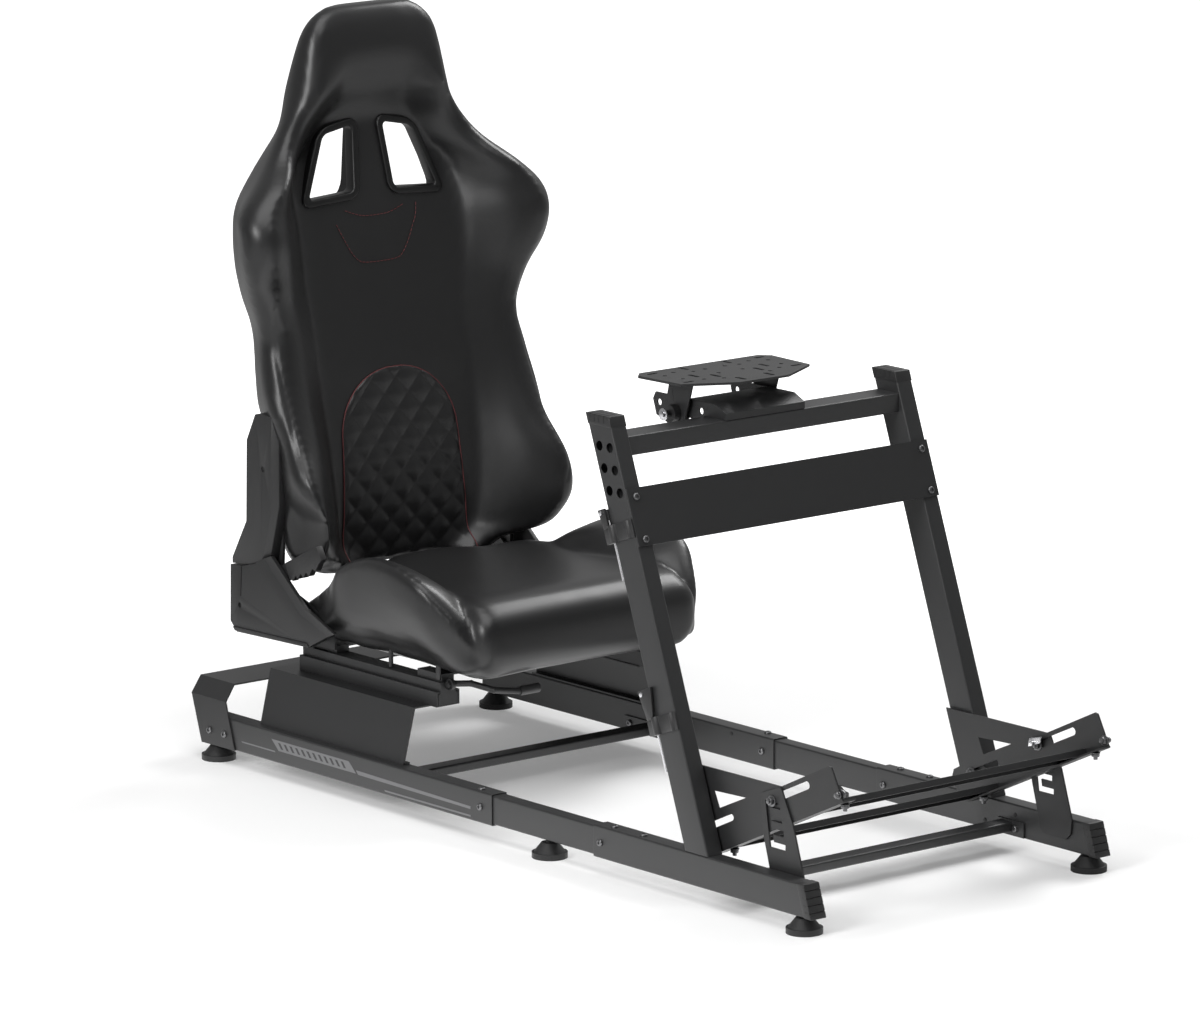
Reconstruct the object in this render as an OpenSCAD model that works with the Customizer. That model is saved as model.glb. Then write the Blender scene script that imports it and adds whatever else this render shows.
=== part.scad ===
// Sim racing cockpit: a low steel frame with a reclining bucket seat, two raked uprights
// with a wheel deck, and a sloping pedal tray.
// +Z up, the driver faces -Y, +X is the driver's left. The origin is on the floor,
// at the middle of the frame. Millimetres.

/* [Frame] */
// Overall width over the rails
frame_w = 600; // [560:1:640]
// Width of the rail tube
tube_w = 30; // [25:1:35]
// Height of the rail tube
tube_h = 50; // [40:1:55]
// Wall of every square tube
tube_wall = 2; // [1.5:0.1:3]
// Radius of the tubes' outer corners
tube_r = 3; // [2:0.5:4]
// Floor to the underside of the rails
rail_z = 26.5; // [24:0.5:35]
// Front end of the rear rail tubes
rear_tube_front = 0; // [-20:1:20]
// Rear end of the rear rail tubes
rear_tube_back = 725; // [715:1:728]
// Rear end of the front rail tubes
front_tube_back = -242; // [-260:1:-220]
// Front end of the front rail tubes at their top edge
front_tube_front = -714; // [-716:1:-710]
// Length of the middle tube inside each outer tube
telescope_in = 90; // [60:5:120]
// Gap between the middle tube and the tube around it, each side
telescope_gap = 0.3; // [0.2:0.1:0.5]
// Slope of the front rail tubes' cut ends from vertical
rail_cut = 18.5; // [10:0.5:25]
// Thickness of the plastic end caps
cap_t = 5; // [4:0.5:8]

/* [Feet] */
// Diameter of a foot's disc
foot_d = 55; // [45:1:60]
// Height of a foot's disc
foot_disc_h = 9; // [6:0.5:12]
// Distance of the rear feet behind the origin
foot_rear_y = 710; // [700:1:715]
// Distance of the middle feet before the origin
foot_mid_y = -121; // [-140:1:-100]
// Distance of the front feet before the origin
foot_front_y = -704; // [-708:1:-690]

/* [Rear arch] */
// Thickness of the arch's sheet
arch_t = 3; // [2:0.5:4]
// Height of the arch's cross plate
arch_z = 127; // [115:1:135]

/* [Seat supports] */
// Thickness of the bent supports
support_t = 3; // [2:0.5:4]
// Height of the flat top that carries the slide rails
support_z = 165; // [155:1:175]
// Front end of the supports
support_front = 236; // [225:1:245]
// Rear end of the supports
support_back = 600; // [590:1:610]

/* [Uprights] */
// Depth of an upright tube, front to back
upright_d = 50; // [40:1:55]
// Lean of the uprights from vertical
upright_lean = 20; // [15:0.5:25]
// Height of the uprights
upright_z = 703; // [680:1:720]
// Front edge of an upright where it meets the rail
upright_foot_y = -505.5; // [-515:0.5:-495]
// Diameter of the height adjusting holes
adjust_hole_d = 15; // [12:0.5:16]

/* [Wheel deck] */
// Width of the deck plate
deck_w = 268; // [250:1:290]
// Thickness of the deck's sheet parts
deck_t = 4; // [3:0.5:5]
// Height of the deck plate's top
deck_z = 727; // [720:1:735]
// Distance of the deck's tilt bolt before the origin
tilt_y = -182; // [-190:1:-175]
// Height of the deck's tilt bolt
tilt_z = 670; // [665:1:676]

/* [Pedal tray] */
// Slope of the pedal tray
tray_slope = 25; // [20:1:30]
// Thickness of the tray's side plates
tray_t = 3; // [2:0.5:4]
// Width of the pedal bars
pedal_bar_w = 50; // [40:1:55]
// Height of the pedal bars
pedal_bar_h = 10; // [8:0.5:14]

/* [Seat] */
// Distance of the recline pivot behind the origin
pivot_y = 650; // [645:1:655]
// Height of the recline pivot
pivot_z = 280; // [275:1:285]
// Half width of the cushion over its side bolsters
cushion_half_w = 267; // [255:1:275]
// Half width of the slide rails' centres
slide_x = 214; // [205:1:218]
// Radius of the recline pin
pin_r = 7.95; // [7.9:0.01:7.98]

/* [Hidden] */
$fn = 48;

half_w = frame_w / 2;
rail_top = rail_z + tube_h;
rail_in = half_w - tube_w;
rail_mid_x = half_w - tube_w / 2;
steel = "#2c2d2f";
steel_side = "#3a3b3d";
plastic = "#1b1b1c";
leather = "#232324";
bright = "#c9cbcd";

// Extrudes an outline of [y, z] points along X, from x to x + t
module side_sheet(x, t, outline) {
    translate([x, 0, 0]) rotate([90, 0, 90]) linear_extrude(t) polygon(outline);
}

// Extrudes an outline of [x, z] points along Y, from y to y + t
module cross_sheet(y, t, outline) {
    translate([0, y + t, 0]) rotate([90, 0, 0]) linear_extrude(t) polygon(outline);
}

// A round bar along X
module bar_x(x, y, z, r, length) {
    translate([x, y, z]) rotate([0, 90, 0]) cylinder(r = r, h = length);
}

// The driver's right is the mirror image of the left
module right() { mirror([1, 0, 0]) children(); }

// A box given by its low and high corners
module box(low, high) { translate(low) cube(high - low); }

// The section of a tube from corner [0, 0], rounded outside and open inside
module tube_section(w, h, wall, r) {
    difference() {
        translate([r, r]) offset(r = r) square([w - 2 * r, h - 2 * r]);
        translate([wall, wall]) square([w - 2 * wall, h - 2 * wall]);
    }
}

// Rails

// A straight rail tube on the left, open inside
module rail_tube(y0, y1, inset) {
    translate([rail_in + inset, y1, rail_z + inset]) rotate([90, 0, 0]) linear_extrude(y1 - y0)
        tube_section(tube_w - 2 * inset, tube_h - 2 * inset, tube_wall, tube_r);
}

module rail_rear_left() {
    color(steel_side) rail_tube(rear_tube_front, rear_tube_back, 0);
}

module rail_middle_left() {
    color(steel_side) rail_tube(front_tube_back - telescope_in, rear_tube_front + telescope_in,
        tube_wall + telescope_gap);
}

// How far the front rail tubes' cut ends run forward from the top edge to the bottom edge
cut_run = tube_h * tan(rail_cut);

module rail_front_left() {
    color(steel_side) difference() {
        rail_tube(front_tube_front - cut_run, front_tube_back, 0);
        side_sheet(rail_in - 1, tube_w + 2, [[front_tube_front, rail_top], [front_tube_front, rail_top + 1],
            [front_tube_front - cut_run - 1, rail_top + 1], [front_tube_front - cut_run - 1, rail_z],
            [front_tube_front - cut_run, rail_z]]);
    }
}

// Plastic caps on the rails' cut front ends, their rear ends and the uprights' tops
module rail_cap() {
    side_sheet(rail_in, tube_w, [[front_tube_front, rail_top], [front_tube_front - cut_run, rail_z],
        [front_tube_front - cut_run - cap_t, rail_z], [front_tube_front - cap_t, rail_top]]);
    box([rail_in, rear_tube_back, rail_z], [half_w, rear_tube_back + rear_cap_t, rail_top]);
}

rear_cap_t = 3;
upright_cap_t = 3;

module upright_cap() {
    side_sheet(rail_in, tube_w, [[upright_front(upright_z - upright_cap_t), upright_z - upright_cap_t],
        [upright_front(upright_z - upright_cap_t), upright_z], [upright_back(upright_z), upright_z],
        [upright_back(upright_z - upright_cap_t), upright_z - upright_cap_t]]);
}

module tube_caps() {
    color(plastic) for (s = [0, 1]) mirror([s, 0, 0]) {
        rail_cap();
        upright_cap();
    }
}

// Levelling feet

module foot(y, top) {
    neck_h = 3;
    neck_r = 6;
    cone_r = 13;
    cone_step = 3;
    translate([rail_mid_x, y, 0]) {
        cylinder(r = foot_d / 2, h = foot_disc_h);
        translate([0, 0, foot_disc_h])
            cylinder(r1 = foot_d / 2 - cone_step, r2 = cone_r, h = rail_z - foot_disc_h - neck_h);
        translate([0, 0, rail_z - neck_h - 1]) cylinder(r = neck_r, h = neck_h + 1 + top - rail_z);
    }
}

module feet_left() {
    color(plastic) {
        foot(foot_rear_y, rail_z);
        foot(foot_mid_y, rail_z + tube_wall + telescope_gap);
        foot(foot_front_y, rail_z);
    }
}

// Rear arch: one bent sheet over both rails, leaning back

arch_out = half_w + arch_t;
arch_bend_z = 102;
arch_top_half = half_w - 22;
arch_rear_top = 766;

module arch_side() {
    side_sheet(half_w, arch_t, [[645, rail_z + 0.5], [732, rail_z - 0.5],
        [757, arch_bend_z], [668, arch_bend_z]]);
}

// The bend from the side plate over to the cross plate
module arch_shoulder() {
    z1 = arch_z - arch_t;
    hull() {
        side_sheet(half_w, arch_t, [[668, arch_bend_z], [757, arch_bend_z],
            [757.5, arch_bend_z + 1], [668.5, arch_bend_z + 1]]);
        box([arch_top_half - 1, 677, z1], [arch_top_half, arch_rear_top, arch_z]);
    }
}

module rear_arch_bracket() {
    color(steel) union() {
        arch_side();
        right() arch_side();
        arch_shoulder();
        right() arch_shoulder();
        box([-arch_top_half, 677, arch_z - arch_t], [arch_top_half, arch_rear_top, arch_z]);
        box([-arch_top_half + 20, arch_rear_top - arch_t, arch_z - 22],
            [arch_top_half - 20, arch_rear_top, arch_z]);
    }
}

// Cross tubes

cross_d = 30;
cross_h = 15;
cross_z = 34;
middle_cross_y = 277;
front_cross_y = -555;
flange_t = 3;

// An open tube between the rails with a plate on each end, bolted to the rails
module cross_tube(y, plate_y0, plate_y1) {
    inner = rail_in - flange_t;
    translate([-inner, y, cross_z]) rotate([90, 0, 90]) linear_extrude(2 * inner)
        tube_section(cross_d, cross_h, tube_wall, tube_r);
    for (s = [0, 1]) mirror([s, 0, 0])
        box([inner, plate_y0, rail_z + 1], [rail_in, plate_y1, rail_z + 25]);
}

module middle_cross_tube() {
    color(steel) cross_tube(middle_cross_y, middle_cross_y - 4, middle_cross_y + 84);
}

module front_cross_tube() {
    color(steel) cross_tube(front_cross_y, front_cross_y - 24, front_cross_y + cross_d + 4);
}

// Seat supports: bent sheets that stand on the rails and carry the slides

support_foot_x = rail_mid_x;
support_edge_x = rail_in - 6;
support_in_x = slide_x - 24;
support_flange_x = rail_in + 1;

module seat_support_left() {
    t = support_t;
    color(steel) cross_sheet(support_front, support_back - support_front,
        [[support_foot_x, rail_top], [support_flange_x, rail_top], [support_flange_x, rail_top + t],
         [support_foot_x - t - 1, rail_top + t], [support_edge_x - t - 1, support_z - t],
         [support_in_x, support_z - t], [support_in_x, support_z], [support_edge_x, support_z]]);
}

// Slides: the lower rail is a channel, the upper rail runs inside it

slide_half = 22.5;
slide_gap = 1;
slide_wall = 2.5;
lower_h = 24;
upper_h = 38;
slide_front = 212;
slide_back = 560;
ear_t = 6;
ear_r = 9;

module slide_rail_lower_left() {
    w = slide_wall;
    s = slide_half;
    lip = 6;
    z = support_z;
    color(steel_side) cross_sheet(slide_front, slide_back - slide_front,
        [[slide_x - s, z], [slide_x + s, z], [slide_x + s, z + lower_h],
         [slide_x + s - lip, z + lower_h], [slide_x + s - lip, z + lower_h - w],
         [slide_x + s - w, z + lower_h - w], [slide_x + s - w, z + w],
         [slide_x - s + w, z + w], [slide_x - s + w, z + lower_h - w],
         [slide_x - s + lip, z + lower_h - w], [slide_x - s + lip, z + lower_h],
         [slide_x - s, z + lower_h]]);
}

module slide_rail_upper_left() {
    g = slide_gap;
    w = slide_wall;
    neck = slide_half - 6 - g;
    foot = slide_half - slide_wall - g;
    z0 = support_z + w;
    z1 = support_z + lower_h - w - g;
    top = support_z + upper_h;
    color(steel_side) difference() {
        union() {
            cross_sheet(slide_front, slide_back - slide_front,
                [[slide_x - foot, z0], [slide_x + foot, z0], [slide_x + foot, z1],
                 [slide_x + neck, z1], [slide_x + neck, top], [slide_x - neck, top],
                 [slide_x - neck, z1], [slide_x - foot, z1]]);
            side_sheet(slide_x - ear_t / 2, ear_t, [[slide_front + 1, release_z - ear_r],
                [release_y, release_z - ear_r], [release_y, release_z + ear_r], [slide_front, top],
                [slide_front + 1, top]]);
            bar_x(slide_x - ear_t / 2, release_y, release_z, ear_r, ear_t);
        }
        bar_x(slide_x - ear_t, release_y, release_z, bar_r + bar_gap, 2 * ear_t);
    }
}

// The pads and cross bars that carry the cushion on the slides

cushion_bottom = 215;
pin_bracket_x = slide_x + 10;
pad_z = support_z + upper_h;
pad_length = 60;
base_bar_from = 15;

module slide_pad(y) {
    box([slide_x - 15, y, pad_z], [pin_bracket_x, y + pad_length, cushion_bottom]);
}

module seat_base_frame() {
    clear_of_ear = release_y + ear_r + 1;
    color(steel) union() for (y = [clear_of_ear, 480]) {
        slide_pad(y);
        right() slide_pad(y);
        box([-pin_bracket_x, y + base_bar_from, pad_z + 4],
            [pin_bracket_x, y + pad_length - base_bar_from, cushion_bottom]);
    }
}

// The bar under the cushion's nose that frees the slide. It turns in an ear on the
// front of the right upper rail

bar_r = 5;
bar_gap = 0.05;
release_y = 206;
release_z = 200;
release_half = 7;
grip_r = 7.5;
bend_swell = 0.4;
release_path = [[186, 190, 200], [166, 158, 192], [126, 146, 187]];

// A round bar from p to q with a slightly larger ball at q
module rod(p, q, r) {
    d = q - p;
    length = norm(d);
    translate(p) rotate([0, acos(d[2] / length), atan2(d[1], d[0])]) cylinder(r = r, h = length);
    translate(q) sphere(r = r + bend_swell);
}

module slide_release_bar() {
    root = [slide_x - release_half, release_y, release_z];
    color(plastic) right() union() {
        bar_x(slide_x - release_half, release_y, release_z, bar_r, 2 * release_half);
        translate(root) sphere(r = bar_r + bend_swell);
        rod(root, release_path[0], bar_r);
        rod(release_path[0], release_path[1], bar_r);
        rod(release_path[1], release_path[2], bar_r);
        bar_x(88, release_path[2][1], release_path[2][2], grip_r, 38);
    }
}

// Cushion: a centre with a raised bolster on each side that leans outwards

bracket_front = 480;
cushion_rear_half = pin_bracket_x - 2;
cushion_mid_half = cushion_rear_half - 14;
bolster_in = cushion_rear_half - 57;
bolster_low_half = cushion_rear_half + 10;
bolster_end = bracket_front - 6;

module cushion_bolster() {
    front = 100;
    intersection() {
        side_sheet(bolster_in, cushion_half_w - bolster_in, [[160, cushion_bottom], [120, 234],
            [118, 244], [150, 298], [170, 322], [187, 345], [204, 360], [250, 374], [300, 387],
            [340, 389], [414, 380], [446, 363], [bolster_end, 347], [bolster_end, cushion_bottom]]);
        cross_sheet(front, bolster_end - front, [[bolster_in, cushion_bottom],
            [bolster_low_half - 8, cushion_bottom], [bolster_low_half, cushion_bottom + 12],
            [cushion_half_w, 340], [cushion_half_w, 366], [cushion_half_w - 12, 389],
            [cushion_half_w - 37, 389], [bolster_in, 322]]);
    }
    side_sheet(bolster_in, cushion_rear_half - bolster_in, [[bolster_end, cushion_bottom],
        [bolster_end, 340], [510, 322], [540, 300], [540, cushion_bottom]]);
}

module seat_cushion() {
    color(leather) union() {
        side_sheet(-cushion_mid_half, 2 * cushion_mid_half, [[150, cushion_bottom], [118, 222],
            [108, 244], [108, 276], [118, 306], [140, 322], [180, 327], [300, 326], [520, 320],
            [542, 308], [542, cushion_bottom]]);
        cushion_bolster();
        right() cushion_bolster();
    }
}

// Recliner: a bracket on the seat, an arm on the backrest, and covers over both

bracket_t = 4;
arm_x = pin_bracket_x + bracket_t + 1;
arm_t = 4;
pin_gap = 0.05;
lever_x = arm_x + arm_t + 9;
lever_t = 4;
cover_x = lever_x + 7;
cover_out = cover_x + 15;
cover_arc_r = 62;
arm_arc_r = cover_arc_r + 6;
pin_end = cover_x - 1;

// A post between the bracket and the cover over it
module cover_post(y, z) {
    post_t = 12;
    box([pin_bracket_x + bracket_t, y, z], [cover_x, y + 40, z + post_t]);
}

module recliner_bracket_left() {
    color(steel) union() {
        side_sheet(pin_bracket_x, bracket_t, [[bracket_front, cushion_bottom - 6],
            [670, cushion_bottom - 6], [690, 250], [680, 305], [640, 318], [600, 290],
            [bracket_front, 250]]);
        bar_x(pin_bracket_x, pivot_y, pivot_z, pin_r, pin_end - pin_bracket_x);
        cover_post(500, 221);
        cover_post(640, 214);
    }
}

module recliner_cover_left() {
    color(plastic) difference() {
        side_sheet(cover_x, cover_out - cover_x, [[445, 243.5], [503, 214], [687, 208.5],
            [703.5, 224], [702, 330], [607, 345], [520, 273]]);
        difference() {
            side_sheet(cover_x - 1, cover_out, [[pivot_y, pivot_z], [pivot_y + 90, pivot_z + 50],
                [pivot_y + 60, 400], [pivot_y - 110, 400]]);
            bar_x(cover_x - 2, pivot_y, pivot_z, cover_arc_r, cover_out);
        }
    }
}

module recliner_arm_left() {
    color(plastic) difference() {
        union() {
            side_sheet(arm_x, arm_t, [[pivot_y - 40, pivot_z], [pivot_y + 40, pivot_z],
                [661, 392], [660, 523], [638, 568], [585, 572], [587, 424]]);
            bar_x(arm_x, pivot_y, pivot_z, 40, arm_t);
            difference() {
                side_sheet(arm_x + arm_t, cover_out - 2 - arm_x - arm_t, [[616, 341], [607, 300], [712, 300],
                    [700, 326], [662, 392], [660, 523], [638, 568], [585, 572], [587, 424]]);
                bar_x(arm_x + arm_t, pivot_y, pivot_z, arm_arc_r, cover_out);
            }
        }
        bar_x(arm_x - 1, pivot_y, pivot_z, pin_r + pin_gap, 100);
    }
}

// The handle on the driver's right that frees the backrest
module recline_lever() {
    dy = -165;
    dz = 87;
    r = 9;
    grip_from = 0.56;
    grip_w = 12;
    color(plastic) right() difference() {
        union() {
            bar_x(lever_x, pivot_y, pivot_z, 18, lever_t);
            side_sheet(lever_x, lever_t, [[pivot_y - 4, pivot_z - 14], [pivot_y + 10, pivot_z + 14],
                [pivot_y + dy, pivot_z + dz + r], [pivot_y + dy - 6, pivot_z + dz - r + 4]]);
            side_sheet(lever_x, grip_w, [[pivot_y + dy * grip_from, pivot_z + dz * grip_from + r + 3],
                [pivot_y + dy, pivot_z + dz + r + 2], [pivot_y + dy - 10, pivot_z + dz - r],
                [pivot_y + dy * grip_from + 4, pivot_z + dz * grip_from - 12]]);
        }
        bar_x(lever_x - 1, pivot_y, pivot_z, pin_r + pin_gap, 100);
    }
}

// Backrest: the front outline and the side profile cut each other, and a channel is
// taken out of the front between the side bolsters and the shoulder wings

back_lean = 0.205;
back_mid_y = 690;
back_mid_z = 950;
back_bottom = 300;
back_top = 1190;
function back_face(z) = back_mid_y + (z - back_mid_z) * back_lean;

module backrest_outline() {
    half = [[150, back_bottom], [190, 310], [216, 324], [240, 341], [266, 369], [276, 398], [275, 434],
        [269, 475], [261, 522], [257, 573], [255, 632], [255, 692], [263, 750], [280, 798],
        [288, 840], [281, 876], [250, 918], [200, 952],
        [160, 987], [139, 1045], [123, 1100], [110, 1142], [90, 1168], [60, 1184], [30, 1190]];
    n = len(half);
    polygon(concat(half, [for (i = [n - 1 : -1 : 0]) [-half[i][0], half[i][1]]]));
}

module backrest_profile() {
    polygon([[557, back_bottom], [553, 326], [524, 340], [496, 352], [480, 372], [477, 398],
        [479, 434], [493, 475], [526, 522], [556, 573], [581, 632], [595, 692], [598, 750],
        [574, 798], [571, 840], [584, 878], [601, 916], [625, 952],
        [638, 990], [645, 1045], [645, 1100], [650, 1150], [660, 1182], [672, 1190], [690, 1180],
        [704, 1150], [718, 1100], [725, 1045], [724, 960], [717, 850], [700, 710], [672, 580],
        [645, 450], [628, 360], [600, back_bottom]]);
}

module backrest_channel() {
    half = [[140, 300], [150, 340], [178, 400], [188, 500], [186, 600], [180, 700], [190, 800],
        [205, 850], [195, 900], [150, 950], [110, 990], [60, 1012]];
    n = len(half);
    polygon(concat(half, [for (i = [n - 1 : -1 : 0]) [-half[i][0], half[i][1]]]));
}

module harness_opening(grow) {
    translate([0, 780, 0]) rotate([90, 0, 0]) linear_extrude(200) offset(delta = grow)
        polygon([[38, 996], [82, 984], [119, 897], [48, 903]]);
}

module backrest() {
    arm_notch_z = 580;
    lever_room = 8;
    lever_top = 412;
    color(leather) difference() {
        intersection() {
            translate([0, 900, 0]) rotate([90, 0, 0]) linear_extrude(600) backrest_outline();
            rotate([90, 0, 90]) translate([0, 0, -300]) linear_extrude(600) backrest_profile();
        }
        intersection() {
            translate([0, 900, 0]) rotate([90, 0, 0]) linear_extrude(600) backrest_channel();
            side_sheet(-300, 600, [[400, 290], [back_face(290), 290], [back_face(1020), 1020],
                [400, 1020]]);
        }
        for (s = [0, 1]) mirror([s, 0, 0]) {
            harness_opening(9);
            box([arm_x, 560, back_bottom - 1], [400, 800, arm_notch_z]);
        }
        right() box([lever_x - lever_room, 460, back_bottom - 1], [400, 575, lever_top]);
    }
}

// Thick plastic frames that line the two harness openings
rim_deep = 34;

module harness_rim() {
    intersection() {
        difference() {
            harness_opening(9);
            harness_opening(0);
        }
        side_sheet(0, 200, [[back_face(880) - 10, 880], [back_face(1020) - 10, 1020],
            [back_face(1020) + rim_deep, 1020], [back_face(880) + rim_deep, 880]]);
    }
}

module harness_rims() {
    color(plastic) {
        harness_rim();
        right() harness_rim();
    }
}

// Quilted pad on the lower half of the backrest's face
module lumbar_pad() {
    t = 8;
    lift = 0.2;
    z0 = back_bottom + 12;
    color(leather) intersection() {
        translate([0, 900, 0]) rotate([90, 0, 0]) linear_extrude(600)
            polygon([[-126, z0], [126, z0], [118, 520], [98, 575], [60, 600], [-60, 600],
                [-98, 575], [-118, 520]]);
        side_sheet(-130, 260, [[back_face(z0) - t, z0], [back_face(z0) - lift, z0],
            [back_face(610) - lift, 610], [back_face(610) - t, 610]]);
    }
}

// Uprights: raked tubes with a level top, holed for the crossbar's height

lean_run = tan(upright_lean);
upright_deep = upright_d / cos(upright_lean);
function upright_front(z) = upright_foot_y + (z - rail_top) * lean_run;
function upright_back(z) = upright_front(z) + upright_deep;

module upright_left() {
    z0 = rail_top;
    z1 = upright_z - upright_cap_t;
    spare = 2 * upright_d;
    color(steel_side) difference() {
        intersection() {
            translate([rail_in, upright_front(z0), z0]) rotate([-upright_lean, 0, 0])
                translate([0, 0, -spare]) linear_extrude((z1 - z0) / cos(upright_lean) + 2 * spare)
                    tube_section(tube_w, upright_d, tube_wall, tube_r);
            box([rail_in - 1, upright_front(z0) - spare, z0], [half_w + 1, upright_back(z1) + spare, z1]);
        }
        for (z = [657, 624.8, 592.2], back = [0, 1])
            bar_x(half_w - tube_wall - 1, (upright_front(z) + upright_back(z)) / 2 + (back ? 12 : -12),
                z, adjust_hole_d / 2, tube_wall + 2);
    }
}

crossbar_h = 30;
crossbar_z = tilt_z - 28.5;
crossbar_y = upright_front(crossbar_z + crossbar_h / 2) + 7.4;

module wheel_crossbar() {
    color(steel) translate([-rail_in, crossbar_y, crossbar_z]) rotate([90, 0, 90])
        linear_extrude(2 * rail_in) tube_section(upright_d, crossbar_h, tube_wall, tube_r);
}

// The flat plate across the fronts of the uprights
module brace_plate() {
    z0 = 517.5;
    z1 = 600;
    t = 3;
    color(steel) side_sheet(-half_w, frame_w, [[upright_front(z0), z0], [upright_front(z1), z1],
        [upright_front(z1) - t, z1 + 1], [upright_front(z0) - t, z0 + 1]]);
}

// Wheel deck

deck_half = deck_w / 2;
base_x = 79;
base_t = 3;
base_h = 21.5;
base_hole_r = 5;
deck_leg_x = base_x + 6;
tilt_r = 5;
bar_top = crossbar_z + crossbar_h;
bar_rear = crossbar_y + upright_d;
// Low edge of the cheeks behind the crossbar
cheek_low = bar_top - 25.5;

// A cheek of the base: it lies on the crossbar and reaches down behind it
module deck_base_side() {
    side_sheet(base_x - base_t, base_t, [[crossbar_y, bar_top], [crossbar_y, bar_top + 10.5],
        [crossbar_y + 24, bar_top + base_h], [tilt_y + 58, bar_top + base_h], [tilt_y + 64, bar_top + 10.5],
        [tilt_y + 56, bar_top - 13.5], [tilt_y + 22, cheek_low], [bar_rear, cheek_low], [bar_rear, bar_top]]);
}

module deck_base() {
    inner = base_x - 1;
    hood = bar_top + base_h;
    hood_end = crossbar_y + 87;
    t = base_t;
    color(steel) difference() {
        union() {
            deck_base_side();
            right() deck_base_side();
            side_sheet(-inner, 2 * inner, [[crossbar_y, bar_top], [crossbar_y, bar_top + 10.5],
                [crossbar_y + 24, hood], [hood_end, hood], [hood_end, hood - t],
                [crossbar_y + 25, hood - t], [crossbar_y + t, bar_top + 9.5],
                [crossbar_y + t, bar_top + t], [bar_rear, bar_top + t], [bar_rear, bar_top]]);
        }
        for (p = [[tilt_y + 49, tilt_z + 8], [tilt_y - 48, tilt_z + 8], [tilt_y - 22, tilt_z - 11]])
            bar_x(-base_x - 1, p[0], p[1], base_hole_r, 2 * base_x + 2);
    }
}

// A bolt on each side with a round plastic hand grip
module deck_tilt_bolt() {
    bar_x(base_x, tilt_y, tilt_z, tilt_r, 34);
    bar_x(deck_leg_x + base_t + 0.5, tilt_y, tilt_z, 13, 12);
}

module deck_tilt_bolts() {
    color(plastic) {
        deck_tilt_bolt();
        right() deck_tilt_bolt();
    }
}

module deck_leg() {
    low = tilt_z - 15;
    waist = tilt_z + 20;
    side_sheet(deck_leg_x, base_t, [[tilt_y + 14, deck_z - deck_t], [tilt_y - 40, deck_z - deck_t],
        [tilt_y - 30, waist], [tilt_y - 18, low], [tilt_y + 16, low], [tilt_y + 22, waist]]);
}

// A flat slot shape with round ends
module slot_shape(length, width) {
    square([length - width, width], center = true);
    for (s = [-1, 1]) translate([s * (length - width) / 2, 0]) circle(d = width);
}

// Places on the deck, counted from the tilt bolt's line, each on both sides
wide_slots = [[107, 33], [107, -52]];
long_slots = [[43, 36], [43, -39], [70, -20], [28, -80]];
deck_holes = [[75, 21], [75, -50], [46, 9], [46, -62], [103, 8], [98, -28], [20, 12], [24, -24]];
wide_slot_l = 20;
long_slot_l = 24;
deck_hole_r = 3.5;

module deck_slot(turn, length) {
    translate([0, 0, deck_z - deck_t - 1]) rotate([0, 0, turn]) linear_extrude(deck_t + 2)
        slot_shape(length, 2 * deck_hole_r);
}

// Eight-sided, narrower towards the front
module deck_outline() {
    back = tilt_y + 50;
    front = tilt_y - 103;
    half = [[deck_half - 16, back], [deck_half, back - 16], [deck_half - 5, front + 44], [deck_half - 85, front]];
    polygon(concat(half, [for (i = [3 : -1 : 0]) [-half[i][0], half[i][1]]]));
}

module deck_plate() {
    color(steel) difference() {
        union() {
            translate([0, 0, deck_z - deck_t]) linear_extrude(deck_t)
                deck_outline();
            deck_leg();
            right() deck_leg();
        }
        for (s = [-1, 1]) {
            bar_x(s * (deck_leg_x + base_t / 2) - 5, tilt_y, tilt_z, tilt_r + pin_gap, 10);
            for (p = wide_slots) translate([s * p[0], tilt_y + p[1], 0]) deck_slot(0, wide_slot_l);
            for (p = long_slots) translate([s * p[0], tilt_y + p[1], 0]) deck_slot(90, long_slot_l);
            for (p = deck_holes) translate([s * p[0], tilt_y + p[1], deck_z - deck_t - 1])
                cylinder(r = deck_hole_r, h = deck_t + 2);
        }
    }
}

// Pedal tray: side plates inside the uprights, slotted legs and two bars across

leg_t = 3;
tray_x = rail_in - leg_t;
tray_foot = [-510, 84];
tray_run = tan(tray_slope);
function tray_edge(y) = tray_foot[1] + (tray_foot[0] - y) * tray_run;
flange_w = 25;
washer_r = 9;
pedal_slot_n = 4;
pedal_slot_step = 100;
pedal_slot_l = 60;
pedal_slot_w = 8;

// A slot along the tray's slope, cut through a side plate
module sloped_slot(y0, y1, rise, width) {
    length = (y0 - y1) / cos(tray_slope) + width;
    middle = (y0 + y1) / 2;
    translate([tray_x - tray_t - 1, middle, tray_edge(middle) + rise]) rotate([-tray_slope, 0, 0])
        rotate([90, 0, 90]) linear_extrude(tray_t + 2) slot_shape(length, width);
}

// The flange that carries the bars is turned inwards along the plate's lower edge
module tray_flange() {
    y0 = -766;
    y1 = -480;
    side_sheet(tray_x - flange_w, flange_w, [[y1, tray_edge(y1)], [y0, tray_edge(y0)],
        [y0, tray_edge(y0) + tray_t], [y1, tray_edge(y1) + tray_t]]);
}

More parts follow.
